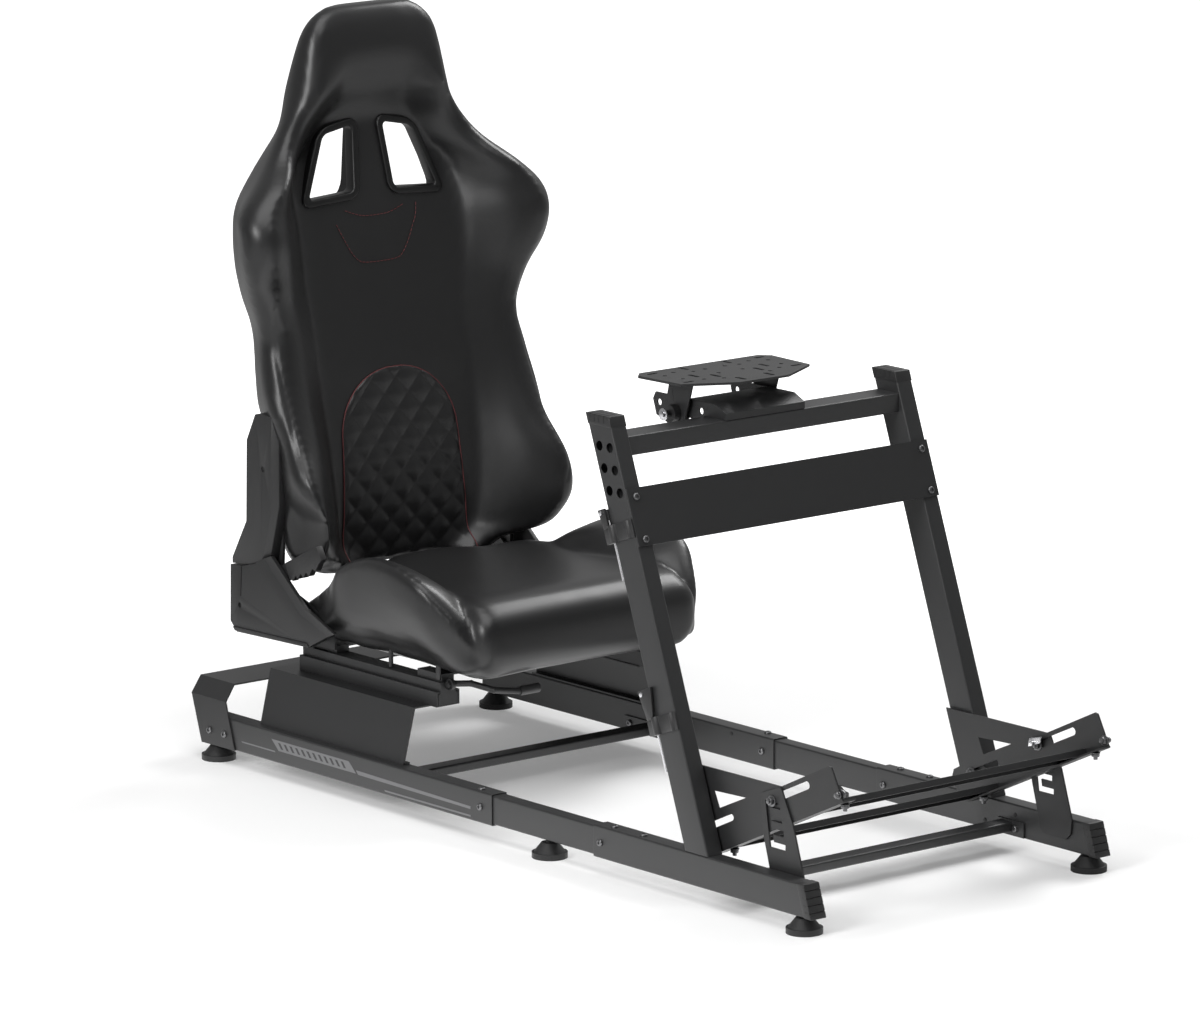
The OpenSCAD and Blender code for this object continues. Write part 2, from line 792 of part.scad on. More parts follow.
module tray_plate_left() {
    color(steel_side) {
        difference() {
            union() {
                side_sheet(tray_x - tray_t, tray_t, [[-406, 201], [-438, 115], [-425, 108], [-421, 94],
                    [-440, tray_edge(-470)], [-480, tray_edge(-480)], [-766, tray_edge(-766)],
                    [-740, 251], [-734, 252], [-630, 202]]);
                tray_flange();
            }
            side_sheet(tray_x - tray_t - 1, tray_t + 2, [[-479, 168], [-552, 170.5], [-491, 143]]);
            sloped_slot(-605, -687, 48, 12);
            sloped_slot(-460, -520, 46, 10);
        }
        for (p = [[-447, 171.5], [-465, 110]])
            bar_x(tray_x, p[0], p[1], washer_r, rail_in - tray_x);
    }
}

module tray_leg_left() {
    notch_w = 26;
    notch_h = 9;
    color(steel_side) difference() {
        side_sheet(tray_x, rail_in - tray_x, [[-589, 186], [-596, 120], [-609, 76], [-614, 52],
            [-622, 44], [-672, 44], [-682, 54], [-684, 76], [-660, 150], [-634, 200], [-628, 201]]);
        for (z = [108, 128, 148, 168])
            side_sheet(tray_x - 1, 6, [[-618 + (z - 108) * 0.2, z], [-618 + (z - 108) * 0.2 - notch_w, z],
                [-618 + (z - 108) * 0.2 - notch_w, z + notch_h], [-618 + (z - 108) * 0.2, z + notch_h]]);
        side_sheet(tray_x - 1, 6, [[-610, 108], [-620, 108], [-607, 177], [-599, 177]]);
    }
}

// A bar across the tray: a channel lying on the side plates' flanges, slotted for pedals
module pedal_bar(y_low) {
    length = 2 * (tray_x - tray_t);
    wall = 2.5;
    flange_top = tray_t * cos(tray_slope);
    translate([0, y_low, tray_edge(y_low)]) rotate([-tray_slope, 0, 0])
        translate([-length / 2, -pedal_bar_w, flange_top]) difference() {
            cube([length, pedal_bar_w, pedal_bar_h]);
            translate([-1, wall, -1]) cube([length + 2, pedal_bar_w - 2 * wall, pedal_bar_h - wall + 1]);
            for (i = [0 : pedal_slot_n - 1]) translate([length / 2 + (i - (pedal_slot_n - 1) / 2) * pedal_slot_step,
                pedal_bar_w / 2, 0]) linear_extrude(pedal_bar_h + 1) slot_shape(pedal_slot_l, pedal_slot_w);
        }
}

module pedal_bars() {
    color(steel) {
        pedal_bar(-676);
        pedal_bar(-484);
    }
}

// Two clips on the driver's right upright, each with a bright rod

module clip_at(z) {
    y = upright_back(z);
    translate([-half_w, y, z]) rotate([-upright_lean, 0, 0]) difference() {
        box([-3, -22, -14], [tube_w - 6, 16, 14]);
        box([0, -23, -15], [tube_w, 0, 15]);
        translate([10, 9, -20]) cylinder(r = 4.05, h = 40);
    }
}

module rod_at(z) {
    y = upright_back(z);
    translate([-half_w, y, z]) rotate([-upright_lean, 0, 0])
        translate([10, 9, -70]) cylinder(r = 4, h = 96);
}

module tool_clips() { color(plastic) for (z = [528, 254]) clip_at(z); }

module tool_rods() { color(bright) for (z = [528, 254]) rod_at(z); }

// One line for each node

rear_arch_bracket();
right() rail_rear_left();  // rail_rear_right
rail_rear_left();
right() rail_middle_left();  // rail_middle_right
rail_middle_left();
right() rail_front_left();  // rail_front_right
rail_front_left();
tube_caps();
right() feet_left();  // feet_right
feet_left();
middle_cross_tube();
front_cross_tube();
right() seat_support_left();  // seat_support_right
seat_support_left();
right() slide_rail_lower_left();  // slide_rail_lower_right
slide_rail_lower_left();
right() slide_rail_upper_left();  // slide_rail_upper_right
slide_rail_upper_left();
seat_base_frame();
slide_release_bar();
seat_cushion();
right() recliner_bracket_left();  // recliner_bracket_right
recliner_bracket_left();
right() recliner_cover_left();  // recliner_cover_right
recliner_cover_left();
right() recliner_arm_left();  // recliner_arm_right
recliner_arm_left();
recline_lever();
backrest();
harness_rims();
lumbar_pad();
right() upright_left();  // upright_right
upright_left();
wheel_crossbar();
brace_plate();
deck_base();
deck_tilt_bolts();
deck_plate();
right() tray_plate_left();  // tray_plate_right
tray_plate_left();
right() tray_leg_left();  // tray_leg_right
tray_leg_left();
pedal_bars();
tool_clips();
tool_rods();
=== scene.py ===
# %% [markdown]
# # A sim racing cockpit, from its frame to its last stitch
#
# The cockpit is a low steel tube frame with a reclining bucket seat, two raked uprights that
# carry a wheel deck, and a sloping pedal tray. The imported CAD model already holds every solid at
# its true size, in metres, with +Z up and the driver facing -Y. This lesson dresses it: good
# steel parts stay and get a coating, and soft or finely shaped parts are modelled anew.

import math

import bpy
import numpy as np
from mathutils import Matrix, Vector
from mathutils.bvhtree import BVHTree


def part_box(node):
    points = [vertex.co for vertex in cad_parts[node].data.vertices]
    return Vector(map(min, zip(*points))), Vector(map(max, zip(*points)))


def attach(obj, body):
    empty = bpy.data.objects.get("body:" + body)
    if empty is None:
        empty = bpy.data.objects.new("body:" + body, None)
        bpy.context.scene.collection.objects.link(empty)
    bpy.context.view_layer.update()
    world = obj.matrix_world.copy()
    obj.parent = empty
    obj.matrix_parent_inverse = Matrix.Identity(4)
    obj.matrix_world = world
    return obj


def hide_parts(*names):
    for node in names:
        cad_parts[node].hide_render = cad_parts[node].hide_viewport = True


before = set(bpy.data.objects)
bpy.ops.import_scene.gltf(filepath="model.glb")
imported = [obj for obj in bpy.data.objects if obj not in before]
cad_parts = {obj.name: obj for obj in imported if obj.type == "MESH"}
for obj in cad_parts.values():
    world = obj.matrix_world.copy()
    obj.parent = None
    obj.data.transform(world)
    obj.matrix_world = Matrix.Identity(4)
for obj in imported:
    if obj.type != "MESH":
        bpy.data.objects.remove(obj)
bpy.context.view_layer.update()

# %% [markdown]
# ## Camera
#
# The photograph was taken from far off with a long lens, so the lines hardly converge. A camera
# can be turned by eye until the rails fit, or solved from known points. Solving was chosen,
# because the rails, feet and uprights give many points whose place is known.

# %% Camera
bpy.ops.object.select_all(action="DESELECT")
bpy.ops.object.camera_add(
    location=(-7.3259, -8.6698, 2.8157),
    rotation=(math.radians(90 - 11.636), 0, math.radians(-39.90)),
)
camera = bpy.context.object
camera.data.sensor_width = 36
camera.data.lens = 226.08
camera.data.shift_x = -4 / 1200
camera.data.shift_y = 2.8 / 1200
camera.data.clip_end = 60
bpy.context.scene.camera = camera
bpy.context.scene.view_settings.view_transform = "Standard"
print("camera at", [round(v, 2) for v in camera.location])

# %% [markdown]
# ## Studio
#
# The picture is a studio shot on white. A large soft light on the camera's left makes every face
# that looks that way the palest. One high on the right draws the band along the cushion's front
# edge, and a wide one above fills the rest.

# %% Lamps
def soft_light(name, place, aim, size, power):
    """A square area light that looks at a point, in metres and watts."""
    bpy.ops.object.light_add(type="AREA", location=place)
    lamp = bpy.context.object
    lamp.name = name
    lamp.data.shape = "SQUARE"
    lamp.data.size = size
    lamp.data.energy = power
    lamp.rotation_euler = (Vector(aim) - Vector(place)).to_track_quat("-Z", "Y").to_euler()
    return lamp


soft_light("light_left", (-4.3, -0.8, 2.7), (0, 0.2, 0.6), 1.6, 120)
soft_light("light_right", (3.1, 0.7, 3.4), (0, 0.2, 0.4), 1.5, 75)
soft_light("light_top", (-0.8, -0.6, 4.2), (0, 0.1, 0.3), 3.2, 100)
print("three soft lights")

# %% [markdown]
# A white background could come from more light, but that light would wash out the black cockpit
# too. So the world is white to the camera alone. Everything else sees it dim, and a little
# brighter from behind the cockpit than from the front. A shader tree is a set of nodes and
# links, so one helper adds a node with its values and links in one line.

# %% World
WHITE = (1, 1, 1, 1)


def add_node(tree, kind, inputs=None, **settings):
    """A node with its settings. Each input takes a value, or the socket that feeds it."""
    node = tree.nodes.new(kind)
    for key, value in settings.items():
        setattr(node, key, value)
    for key, value in (inputs or {}).items():
        if isinstance(value, bpy.types.NodeSocket):
            tree.links.new(value, node.inputs[key])
        else:
            node.inputs[key].default_value = value
    return node


def math_node(tree, operation, a, b):
    """A Math node fed by sockets or numbers. Returns its output."""
    return add_node(tree, "ShaderNodeMath", {0: a, 1: b}, operation=operation).outputs[0]


def ramp_node(tree, value, low, high, at_low, at_high):
    """A ramp from at_low, for values up to low, to at_high, for values from high on."""
    limits = {"From Min": low, "From Max": high, "To Min": at_low, "To Max": at_high}
    return add_node(tree, "ShaderNodeMapRange", {"Value": value, **limits}).outputs["Result"]


def empty_tree(owner):
    """The owner's node tree, cleared."""
    owner.use_nodes = True
    owner.node_tree.nodes.clear()
    return owner.node_tree


world = bpy.data.worlds.new("studio")
bpy.context.scene.world = world
tree = empty_tree(world)
rays = add_node(tree, "ShaderNodeLightPath").outputs
seen = math_node(tree, "MAXIMUM", rays["Is Camera Ray"], rays["Is Transmission Ray"])
look = add_node(tree, "ShaderNodeTexCoord").outputs["Generated"]
behind = (0.62, 0.74, 0.1)
away = add_node(tree, "ShaderNodeVectorMath", {0: look, 1: behind}, operation="DOT_PRODUCT")
strength = ramp_node(tree, away.outputs["Value"], -0.3, 1.0, 0.20, 0.48)
dim = add_node(tree, "ShaderNodeBackground", {"Color": WHITE, "Strength": strength})
white = add_node(tree, "ShaderNodeBackground", {"Color": WHITE, "Strength": 1.0})
sky = add_node(tree, "ShaderNodeMixShader", {0: seen, 1: dim.outputs[0], 2: white.outputs[0]})
add_node(tree, "ShaderNodeOutputWorld", {"Surface": sky.outputs[0]})
print("world nodes:", len(tree.nodes))

# %% [markdown]
# The floor is a real matte surface, so it keeps the soft shadow. To the camera it also glows: a
# little under the cockpit, and fully 2.6 m away, where it meets the white world. Bright metal
# and gloss reflect the floor as well. If all of it glowed for them, every upright face would
# turn pale, so they see only a pool of light under the seat, longer than it is wide.

# %% Floor
bpy.ops.mesh.primitive_plane_add(size=40, location=(0, 0, 0))
floor = bpy.context.object
floor.name = "floor"
floor_white = bpy.data.materials.new("floor_white")
tree = empty_tree(floor_white)
rays = add_node(tree, "ShaderNodeLightPath").outputs
place = add_node(tree, "ShaderNodeTexCoord").outputs["Object"]
reach = add_node(tree, "ShaderNodeVectorMath", {0: place}, operation="LENGTH")
lift = ramp_node(tree, reach.outputs["Value"], 1.0, 2.6, 0.20, 1.0)
seen = math_node(tree, "MULTIPLY", rays["Is Camera Ray"], lift)

pool_stretch, pool_centre = (0.8, 0.5, 1.0), (-0.16, 0.02, 0)
spot = add_node(tree, "ShaderNodeVectorMath", {0: place, 1: pool_stretch}, operation="MULTIPLY")
near = add_node(
    tree, "ShaderNodeVectorMath", {0: spot.outputs["Vector"], 1: pool_centre}, operation="DISTANCE"
)
pool = ramp_node(tree, near.outputs["Value"], 0.36, 0.50, 1.0, 0.0)
reflected = math_node(tree, "MULTIPLY", rays["Is Glossy Ray"], pool)

strength = math_node(tree, "ADD", seen, reflected)
matte = add_node(tree, "ShaderNodeBsdfDiffuse", {"Color": (0.8, 0.8, 0.8, 1)})
glow = add_node(tree, "ShaderNodeEmission", {"Color": WHITE, "Strength": strength})
both = add_node(tree, "ShaderNodeAddShader", {0: matte.outputs[0], 1: glow.outputs[0]})
add_node(tree, "ShaderNodeOutputMaterial", {"Surface": both.outputs[0]})
floor.data.materials.append(floor_white)
print("floor laid,", round(floor.dimensions.x), "m wide")

# %% [markdown]
# ## Shared surface effects
#
# Several finishes need the same effects: a slow change of tone over the part, the fine orange
# peel of powder coat, and the pebbles of leather. Each could be painted or repeated in every
# material. A node group is built once and placed with its own values, so that is used. All read
# Object coordinates, so the pattern keeps its true size in metres.

# %% Tone, peel and pebble groups
def new_group(name, inputs, outputs):
    """An empty shader node group. Inputs are (name, kind, value), outputs (name, kind)."""
    group = bpy.data.node_groups.new(name, "ShaderNodeTree")
    kinds = {"number": "NodeSocketFloat", "colour": "NodeSocketColor"}
    for label, kind, value in inputs:
        socket = group.interface.new_socket(label, in_out="INPUT", socket_type=kinds[kind])
        if value is not None:
            socket.default_value = value
    for label, kind in outputs:
        group.interface.new_socket(label, in_out="OUTPUT", socket_type=kinds[kind])
    start = group.nodes.new("NodeGroupInput").outputs
    end = group.nodes.new("NodeGroupOutput").inputs
    place = add_node(group, "ShaderNodeTexCoord").outputs["Object"]
    return group, start, end, place


tone, start, end, place = new_group(
    "slow tone",
    [("Color", "colour", None), ("Scale", "number", 6.0), ("Amount", "number", 0.1)],
    [("Color", "colour")],
)
noise = {"Vector": place, "Scale": start["Scale"], "Detail": 3}
cloud = add_node(tone, "ShaderNodeTexNoise", noise)
swing = math_node(tone, "SUBTRACT", cloud.outputs["Fac"], 0.5)
swing = math_node(tone, "MULTIPLY", swing, start["Amount"])
swing = math_node(tone, "ADD", swing, 1.0)
shade = add_node(
    tone, "ShaderNodeVectorMath", {0: start["Color"], "Scale": swing}, operation="SCALE"
)
tone.links.new(shade.outputs["Vector"], end["Color"])

peel, start, end, place = new_group("fine peel", [("Scale", "number", 900.0)], [("Height", "number")])
noise = {"Vector": place, "Scale": start["Scale"], "Detail": 2}
grain = add_node(peel, "ShaderNodeTexNoise", noise)
peel.links.new(grain.outputs["Fac"], end["Height"])

pebble, start, end, place = new_group("pebbles", [("Scale", "number", 700.0)], [("Height", "number")])
warp = add_node(pebble, "ShaderNodeTexNoise", {"Vector": place, "Scale": 260})
sway = (0.0012, 0.0012, 0.0012)
bend = {0: warp.outputs["Color"], 1: sway, 2: place}
bend = add_node(pebble, "ShaderNodeVectorMath", bend, operation="MULTIPLY_ADD")
cells = {"Vector": bend.outputs["Vector"], "Scale": start["Scale"]}
cells = add_node(pebble, "ShaderNodeTexVoronoi", cells, feature="SMOOTH_F1")
dome = math_node(pebble, "POWER", cells.outputs["Distance"], 2.0)
pebble.links.new(math_node(pebble, "SUBTRACT", 1.0, dome), end["Height"])
print("node groups:", [g.name for g in (tone, peel, pebble)])

# %% [markdown]
# ## Finishes
#
# The cockpit has few finishes, all near black: satin powder coat on tube and sheet, moulded
# plastic on covers and caps, gloss plastic round the belt openings, rubber under the feet, a
# semi-gloss faux leather, and bright plated steel on rods and bolts. What keeps black from
# looking flat is its roughness and grain, so each finish gets its own.

# %% Finishes
def finish_material(name, colour, roughness, bump, amount=0.12, metallic=0.0):
    """A Principled material: its tone wanders slowly and its height comes from a group.
    bump is (group, scale, strength, distance in metres)."""
    material = bpy.data.materials.new(name)
    material.use_nodes = True
    tree = material.node_tree
    shader = tree.nodes["Principled BSDF"].inputs
    shader["Roughness"].default_value = roughness
    shader["Metallic"].default_value = metallic
    values = {"Color": (*colour, 1), "Amount": amount}
    wander = add_node(tree, "ShaderNodeGroup", values, node_tree=tone)
    tree.links.new(wander.outputs["Color"], shader["Base Color"])
    group, scale, strength, distance = bump
    surface = add_node(tree, "ShaderNodeGroup", {"Scale": scale}, node_tree=group)
    values = {"Height": surface.outputs["Height"], "Strength": strength, "Distance": distance}
    lift = add_node(tree, "ShaderNodeBump", values)
    tree.links.new(lift.outputs["Normal"], shader["Normal"])
    return material


tube_coat = finish_material("tube_coat", (0.024, 0.0243, 0.025), 0.44, (peel, 850, 0.35, 0.0004))
sheet_coat = finish_material("sheet_coat", (0.017, 0.0172, 0.0178), 0.48, (peel, 850, 0.35, 0.0004))
moulded = finish_material("moulded_plastic", (0.018, 0.018, 0.0185), 0.46, (peel, 1500, 0.5, 0.0003))
gloss = finish_material("gloss_plastic", (0.003, 0.003, 0.0032), 0.40, (peel, 300, 0.1, 0.0002))
rubber = finish_material("rubber", (0.012, 0.012, 0.0125), 0.62, (peel, 700, 0.5, 0.0004))
leather = finish_material("faux_leather", (0.011, 0.011, 0.0114), 0.36, (pebble, 620, 0.14, 0.0004), 0.25)
plated = finish_material("plated_steel", (0.72, 0.72, 0.74), 0.24, (peel, 400, 0.1, 0.0002), 0.1, 1.0)
zinc = finish_material("black_zinc", (0.16, 0.16, 0.164), 0.34, (peel, 600, 0.2, 0.0002), 0.2, 0.9)
red_thread = finish_material("red_thread", (0.10, 0.02, 0.022), 0.6, (peel, 2500, 0.6, 0.0003))
stripe_ink = finish_material("stripe_ink", (0.17, 0.17, 0.175), 0.45, (peel, 850, 0.3, 0.0003))
print("finishes:", len([m for m in bpy.data.materials if m.use_nodes]))

# %% [markdown]
# ## Steel that stays
#
# Tubes, sheets and rails are right as the CAD gives them: flat faces and true holes. On the real
# part every edge is softened by the coat. The edges could be modelled, but modifiers do it
# without touching the CAD mesh: a small node tree welds the loose triangles and marks the sharp
# edges, and a bevel takes them off.

# %% Weld and smooth
sharp_angle = math.radians(32)
weld = bpy.data.node_groups.new("weld_and_smooth", "GeometryNodeTree")
for way in ("INPUT", "OUTPUT"):
    weld.interface.new_socket("Geometry", in_out=way, socket_type="NodeSocketGeometry")
loose = add_node(weld, "NodeGroupInput").outputs[0]
merge = {"Geometry": loose, "Distance": 0.00002}
merge = add_node(weld, "GeometryNodeMergeByDistance", merge).outputs["Geometry"]
smooth = add_node(weld, "GeometryNodeSetShadeSmooth", {"Geometry": merge}).outputs["Geometry"]
angle = add_node(weld, "GeometryNodeInputMeshEdgeAngle").outputs["Unsigned Angle"]
steep = {"A": angle, "B": sharp_angle}
steep = add_node(weld, "FunctionNodeCompare", steep, operation="GREATER_THAN").outputs["Result"]
sharp = {"Geometry": smooth, "Selection": steep, "Shade Smooth": False}
sharp = add_node(weld, "GeometryNodeSetShadeSmooth", sharp, domain="EDGE").outputs["Geometry"]
add_node(weld, "NodeGroupOutput", {0: sharp})
print("weld nodes:", len(weld.nodes))

# %% Coat the CAD nodes
def coat(node, material, edge=0.7):
    """Give a CAD node its finish and soft edges, edge in millimetres."""
    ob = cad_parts[node]
    ob.data.materials.clear()
    ob.data.materials.append(material)
    tidy = ob.modifiers.new("weld", "NODES")
    tidy.node_group = weld
    soften = ob.modifiers.new("soften", "BEVEL")
    soften.width = edge / 1000
    soften.segments = 2
    soften.limit_method = "ANGLE"
    soften.angle_limit = sharp_angle
    soften.harden_normals = True


sides = ("right", "left")
side_tubes = ("rail_rear", "rail_middle", "rail_front", "upright")
side_sheets = (
    "seat_support", "slide_rail_lower", "slide_rail_upper", "recliner_bracket", "tray_plate", "tray_leg"
)
cross_tubes = ("middle_cross_tube", "front_cross_tube", "wheel_crossbar")
middle_sheets = (
    "rear_arch_bracket", "seat_base_frame", "brace_plate", "deck_base", "deck_plate", "pedal_bars"
)
for side in sides:
    for part in side_tubes:
        coat(f"{part}_{side}", tube_coat, 0.5)
    for part in side_sheets:
        coat(f"{part}_{side}", sheet_coat, 0.5)
    coat(f"feet_{side}", rubber, 0.8)
for node in cross_tubes:
    coat(node, tube_coat, 0.5)
for node in middle_sheets:
    coat(node, sheet_coat, 0.5)
coat("slide_release_bar", moulded, 0.6)
coat("tool_rods", plated, 0.4)
coat("deck_tilt_bolts", moulded, 1.2)
print("coated", len([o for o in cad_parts.values() if o.modifiers]), "CAD nodes")

# %% [markdown]
# ## Workshop helpers
#
# Every new piece starts from a primitive that is shaped in edit mode. A few helpers do the
# common steps. An operator acts on all that is selected, so each helper first selects its own
# object alone. Lengths are written in millimetres, as on a drawing, and become metres in the
# mesh.

# %% Selecting and shaping
def start_clean():
    """Object mode, with nothing selected."""
    if bpy.context.object and bpy.context.object.mode != "OBJECT":
        bpy.ops.object.mode_set(mode="OBJECT")
    bpy.ops.object.select_all(action="DESELECT")


def choose_only(*obs):
    """Select these objects and make the first one active."""
    start_clean()
    for ob in obs:
        ob.select_set(True)
    bpy.context.view_layer.objects.active = obs[0]
    return obs[0]


def edit_all(ob):
    """Edit mode, with the whole mesh selected."""
    choose_only(ob)
    bpy.ops.object.mode_set(mode="EDIT")
    bpy.ops.mesh.select_all(action="SELECT")


def apply_modifier(ob, kind, **settings):
    """Add a modifier with these settings and apply it."""
    choose_only(ob)
    modifier = ob.modifiers.new(kind.lower(), kind)
    for key, value in settings.items():
        setattr(modifier, key, value)
    bpy.ops.object.modifier_apply(modifier=modifier.name)
    return ob


def recalculate(ob):
    """Merge doubles and turn all faces outwards."""
    edit_all(ob)
    bpy.ops.mesh.remove_doubles(threshold=0.00001)
    bpy.ops.mesh.normals_make_consistent(inside=False)
    bpy.ops.object.mode_set(mode="OBJECT")
    return ob


def bevel(ob, width, segments=2):
    """Take the sharp edges off, width in millimetres."""
    return apply_modifier(
        ob, "BEVEL", width=width / 1000, segments=segments, limit_method="ANGLE",
        angle_limit=sharp_angle,
    )


def bevel_edges(ob, is_chosen, width, segments):
    """Bevel only the edges that is_chosen(end, other_end) picks."""
    edit_all(ob)
    bpy.ops.mesh.select_mode(type="EDGE")
    bpy.ops.mesh.select_all(action="DESELECT")
    bpy.ops.object.mode_set(mode="OBJECT")
    for edge in ob.data.edges:
        edge.select = is_chosen(*[ob.data.vertices[i].co for i in edge.vertices])
    bpy.ops.object.mode_set(mode="EDIT")
    bpy.ops.mesh.bevel(offset=width / 1000, segments=segments)
    bpy.ops.object.mode_set(mode="OBJECT")
    return ob


def cut(ob, *cutters):
    """Take the cutters' shapes out of a piece."""
    for cutter in cutters:
        apply_modifier(ob, "BOOLEAN", operation="DIFFERENCE", solver="EXACT", object=cutter)
        bpy.data.objects.remove(cutter)
    return ob


print("shaping helpers ready")

# %% [markdown]
# A flat outline comes from a filled circle whose corners are moved to their places, and is then
# extruded. A bar is a cylinder laid between two points. Finished parts are joined, copied or
# mirrored, and each piece at last gets its shading, its material and the body that it rides on.

# %% Outlines, rods and copies
AXES = {"x": (1, 2, 0), "y": (0, 2, 1), "z": (0, 1, 2)}


def sheet_from(name, outline, along, start_at, thickness):
    """Extrude an outline along an axis: (y, z) corners along x, (x, z) along y, (x, y) along z."""
    start_clean()
    bpy.ops.mesh.primitive_circle_add(vertices=len(outline), radius=0.1, fill_type="NGON")
    ob = bpy.context.object
    ob.name = ob.data.name = name
    first, second, normal = AXES[along]
    for vertex, (a, b) in zip(ob.data.vertices, outline):
        vertex.co[first], vertex.co[second], vertex.co[normal] = a / 1000, b / 1000, start_at / 1000
    edit_all(ob)
    push = [0, 0, 0]
    push[normal] = thickness / 1000
    bpy.ops.mesh.extrude_region_move(TRANSFORM_OT_translate={"value": push})
    bpy.ops.object.mode_set(mode="OBJECT")
    return recalculate(ob)


def rod_from(name, a, b, radius, corners=24):
    """A round bar from point a to point b, in millimetres."""
    start_clean()
    a, b = Vector(a) / 1000, Vector(b) / 1000
    bpy.ops.mesh.primitive_cylinder_add(
        vertices=corners, radius=radius / 1000, depth=(b - a).length, location=(a + b) / 2,
        rotation=(b - a).to_track_quat("Z", "Y").to_euler(),
    )
    ob = bpy.context.object
    ob.name = ob.data.name = name
    bpy.ops.object.transform_apply(location=True, rotation=True, scale=True)
    return ob


def joined(name, *obs):
    """Join pieces into one object."""
    ob = choose_only(*obs)
    if len(obs) > 1:
        bpy.ops.object.join()
    ob.name = ob.data.name = name
    return ob


def copy_of(ob, name):
    """A copy with its own mesh."""
    choose_only(ob)
    bpy.ops.object.duplicate(linked=False)
    twin = bpy.context.object
    twin.name = twin.data.name = name
    return twin


def mirrored(ob, name):
    """The piece's mirror image across the middle plane."""
    twin = copy_of(ob, name)
    bpy.ops.transform.mirror(constraint_axis=(True, False, False), center_override=(0, 0, 0))
    bpy.ops.object.transform_apply(location=True, rotation=True, scale=True)
    return recalculate(twin)


def settle(ob, body, slot, material, *replaced, angle=32):
    """Finish a piece: shade it, give it its material, and let it ride on its body."""
    choose_only(ob)
    bpy.ops.object.shade_smooth_by_angle(angle=math.radians(angle))
    ob.data.materials.clear()
    ob.data.materials.append(material)
    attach(ob, body)
    if replaced:
        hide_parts(*replaced)
    print(ob.name, len(ob.data.polygons), "faces on", body)
    return ob


print("piece helpers ready")

# %% [markdown]
# A soft form could be pulled out of a cube, but it is known best as a stack of slices. A curve
# through a few rows of numbers gives all rows between them, and a grid is wrapped round the
# rings. Then the form is remeshed evenly and blown up a little as cloth, as foam fills a cover.

# %% Soft forms
def curve_through(rows, steps):
    """Smooth rows of numbers into steps rows, passing through each given row."""
    rows = np.array(rows, float)
    padded_rows = np.vstack([2 * rows[0] - rows[1], rows, 2 * rows[-1] - rows[-2]])
    out = []
    for s in np.linspace(0, len(rows) - 1, steps):
        i = min(int(s), len(rows) - 2)
        t = s - i
        a, b, c, d = padded_rows[i : i + 4]
        square, cube = 2 * a - 5 * b + 4 * c - d, 3 * b - a - 3 * c + d
        out.append(0.5 * (2 * b + (c - a) * t + square * t * t + cube * t**3))
    return np.array(out)


def wrapped(name, rings):
    """Wrap a grid round a stack of rings of points in millimetres, and close its ends."""
    rings = np.array(rings, float) / 1000
    rows, columns = rings.shape[:2]
    start_clean()
    bpy.ops.mesh.primitive_grid_add(x_subdivisions=columns, y_subdivisions=rows - 1, size=1)
    ob = bpy.context.object
    ob.name = ob.data.name = name
    around = np.concatenate([rings, rings[:, :1]], axis=1).reshape(-1, 3)
    ob.data.vertices.foreach_set("co", around.ravel())
    ob.data.update()
    edit_all(ob)
    bpy.ops.mesh.remove_doubles(threshold=0.00001)
    bpy.ops.mesh.select_all(action="DESELECT")
    bpy.ops.mesh.select_mode(type="EDGE")
    bpy.ops.mesh.select_non_manifold()
    bpy.ops.mesh.fill()
    bpy.ops.object.mode_set(mode="OBJECT")
    return recalculate(ob)


def points_of(ob, what="co"):
    """The coordinates, or the normals, of an object's vertices as a table."""
    table = np.zeros(len(ob.data.vertices) * 3)
    ob.data.vertices.foreach_get(what, table)
    return table.reshape(-1, 3)


def inflated(ob, cap, pressure=4.0, steps=20, even=30):
    """Blow a form up as cloth, keep it within cap millimetres, and even out the small wrinkles
    by averaging each point's move with its neighbours'."""
    before = points_of(ob)
    choose_only(ob)
    cloth = ob.modifiers.new("cloth", "CLOTH")
    cloth.settings.use_pressure = True
    cloth.settings.uniform_pressure_force = pressure
    cloth.settings.quality = 4
    cloth.settings.effector_weights.gravity = 0
    scene = bpy.context.scene
    for number in range(1, steps + 1):
        scene.frame_set(number)
    bpy.ops.object.modifier_apply(modifier=cloth.name)
    scene.frame_set(1)
    move = points_of(ob) - before
    far = np.linalg.norm(move, axis=1, keepdims=True)
    move *= np.minimum(1, cap / 1000 / np.maximum(far, 1e-9))
    pairs = np.zeros(len(ob.data.edges) * 2, int)
    ob.data.edges.foreach_get("vertices", pairs)
    a, b = pairs.reshape(-1, 2).T
    shared = np.bincount(pairs, minlength=len(move))[:, None]
    for _ in range(even):
        around = np.zeros_like(move)
        np.add.at(around, a, move[b])
        np.add.at(around, b, move[a])
        move = 0.4 * move + 0.6 * around / shared
    ob.data.vertices.foreach_set("co", (before + move).ravel())
    ob.data.update()
    print(ob.name, "swelled by up to", round(float(far.max()) * 1000, 1), "mm before the cap")


def swollen(ob, voxel, cap):
    """Remesh a soft form evenly and blow it up. voxel and cap are in millimetres."""
    apply_modifier(ob, "REMESH", mode="VOXEL", voxel_size=voxel / 1000, use_smooth_shade=True)
    inflated(ob, cap)
    apply_modifier(ob, "SMOOTH", factor=0.5, iterations=8)
    return apply_modifier(ob, "SUBSURF", levels=1, render_levels=1)


print("soft form helpers ready")

# %% [markdown]
# ## Backrest
#
# The backrest is one upholstered shell: a flat centre, thick bolsters that swell round the
# driver's hips, a waist, shoulder wings and a head that bulges forward. It could be sculpted
# from a block, but the shape is known best as slices. Each row of the table below is one slice
# at its height, and a grid wrapped round the slices is the shell. Cloth with a little air
# pressure then gives it the fullness of foam under a cover.

# %% Backrest slices
face_lean = 0.205


def face_y(z):
    """The plane of the backrest's centre, which lies at y 690 at a height of 950."""
    return 690 + (z - 950) * face_lean


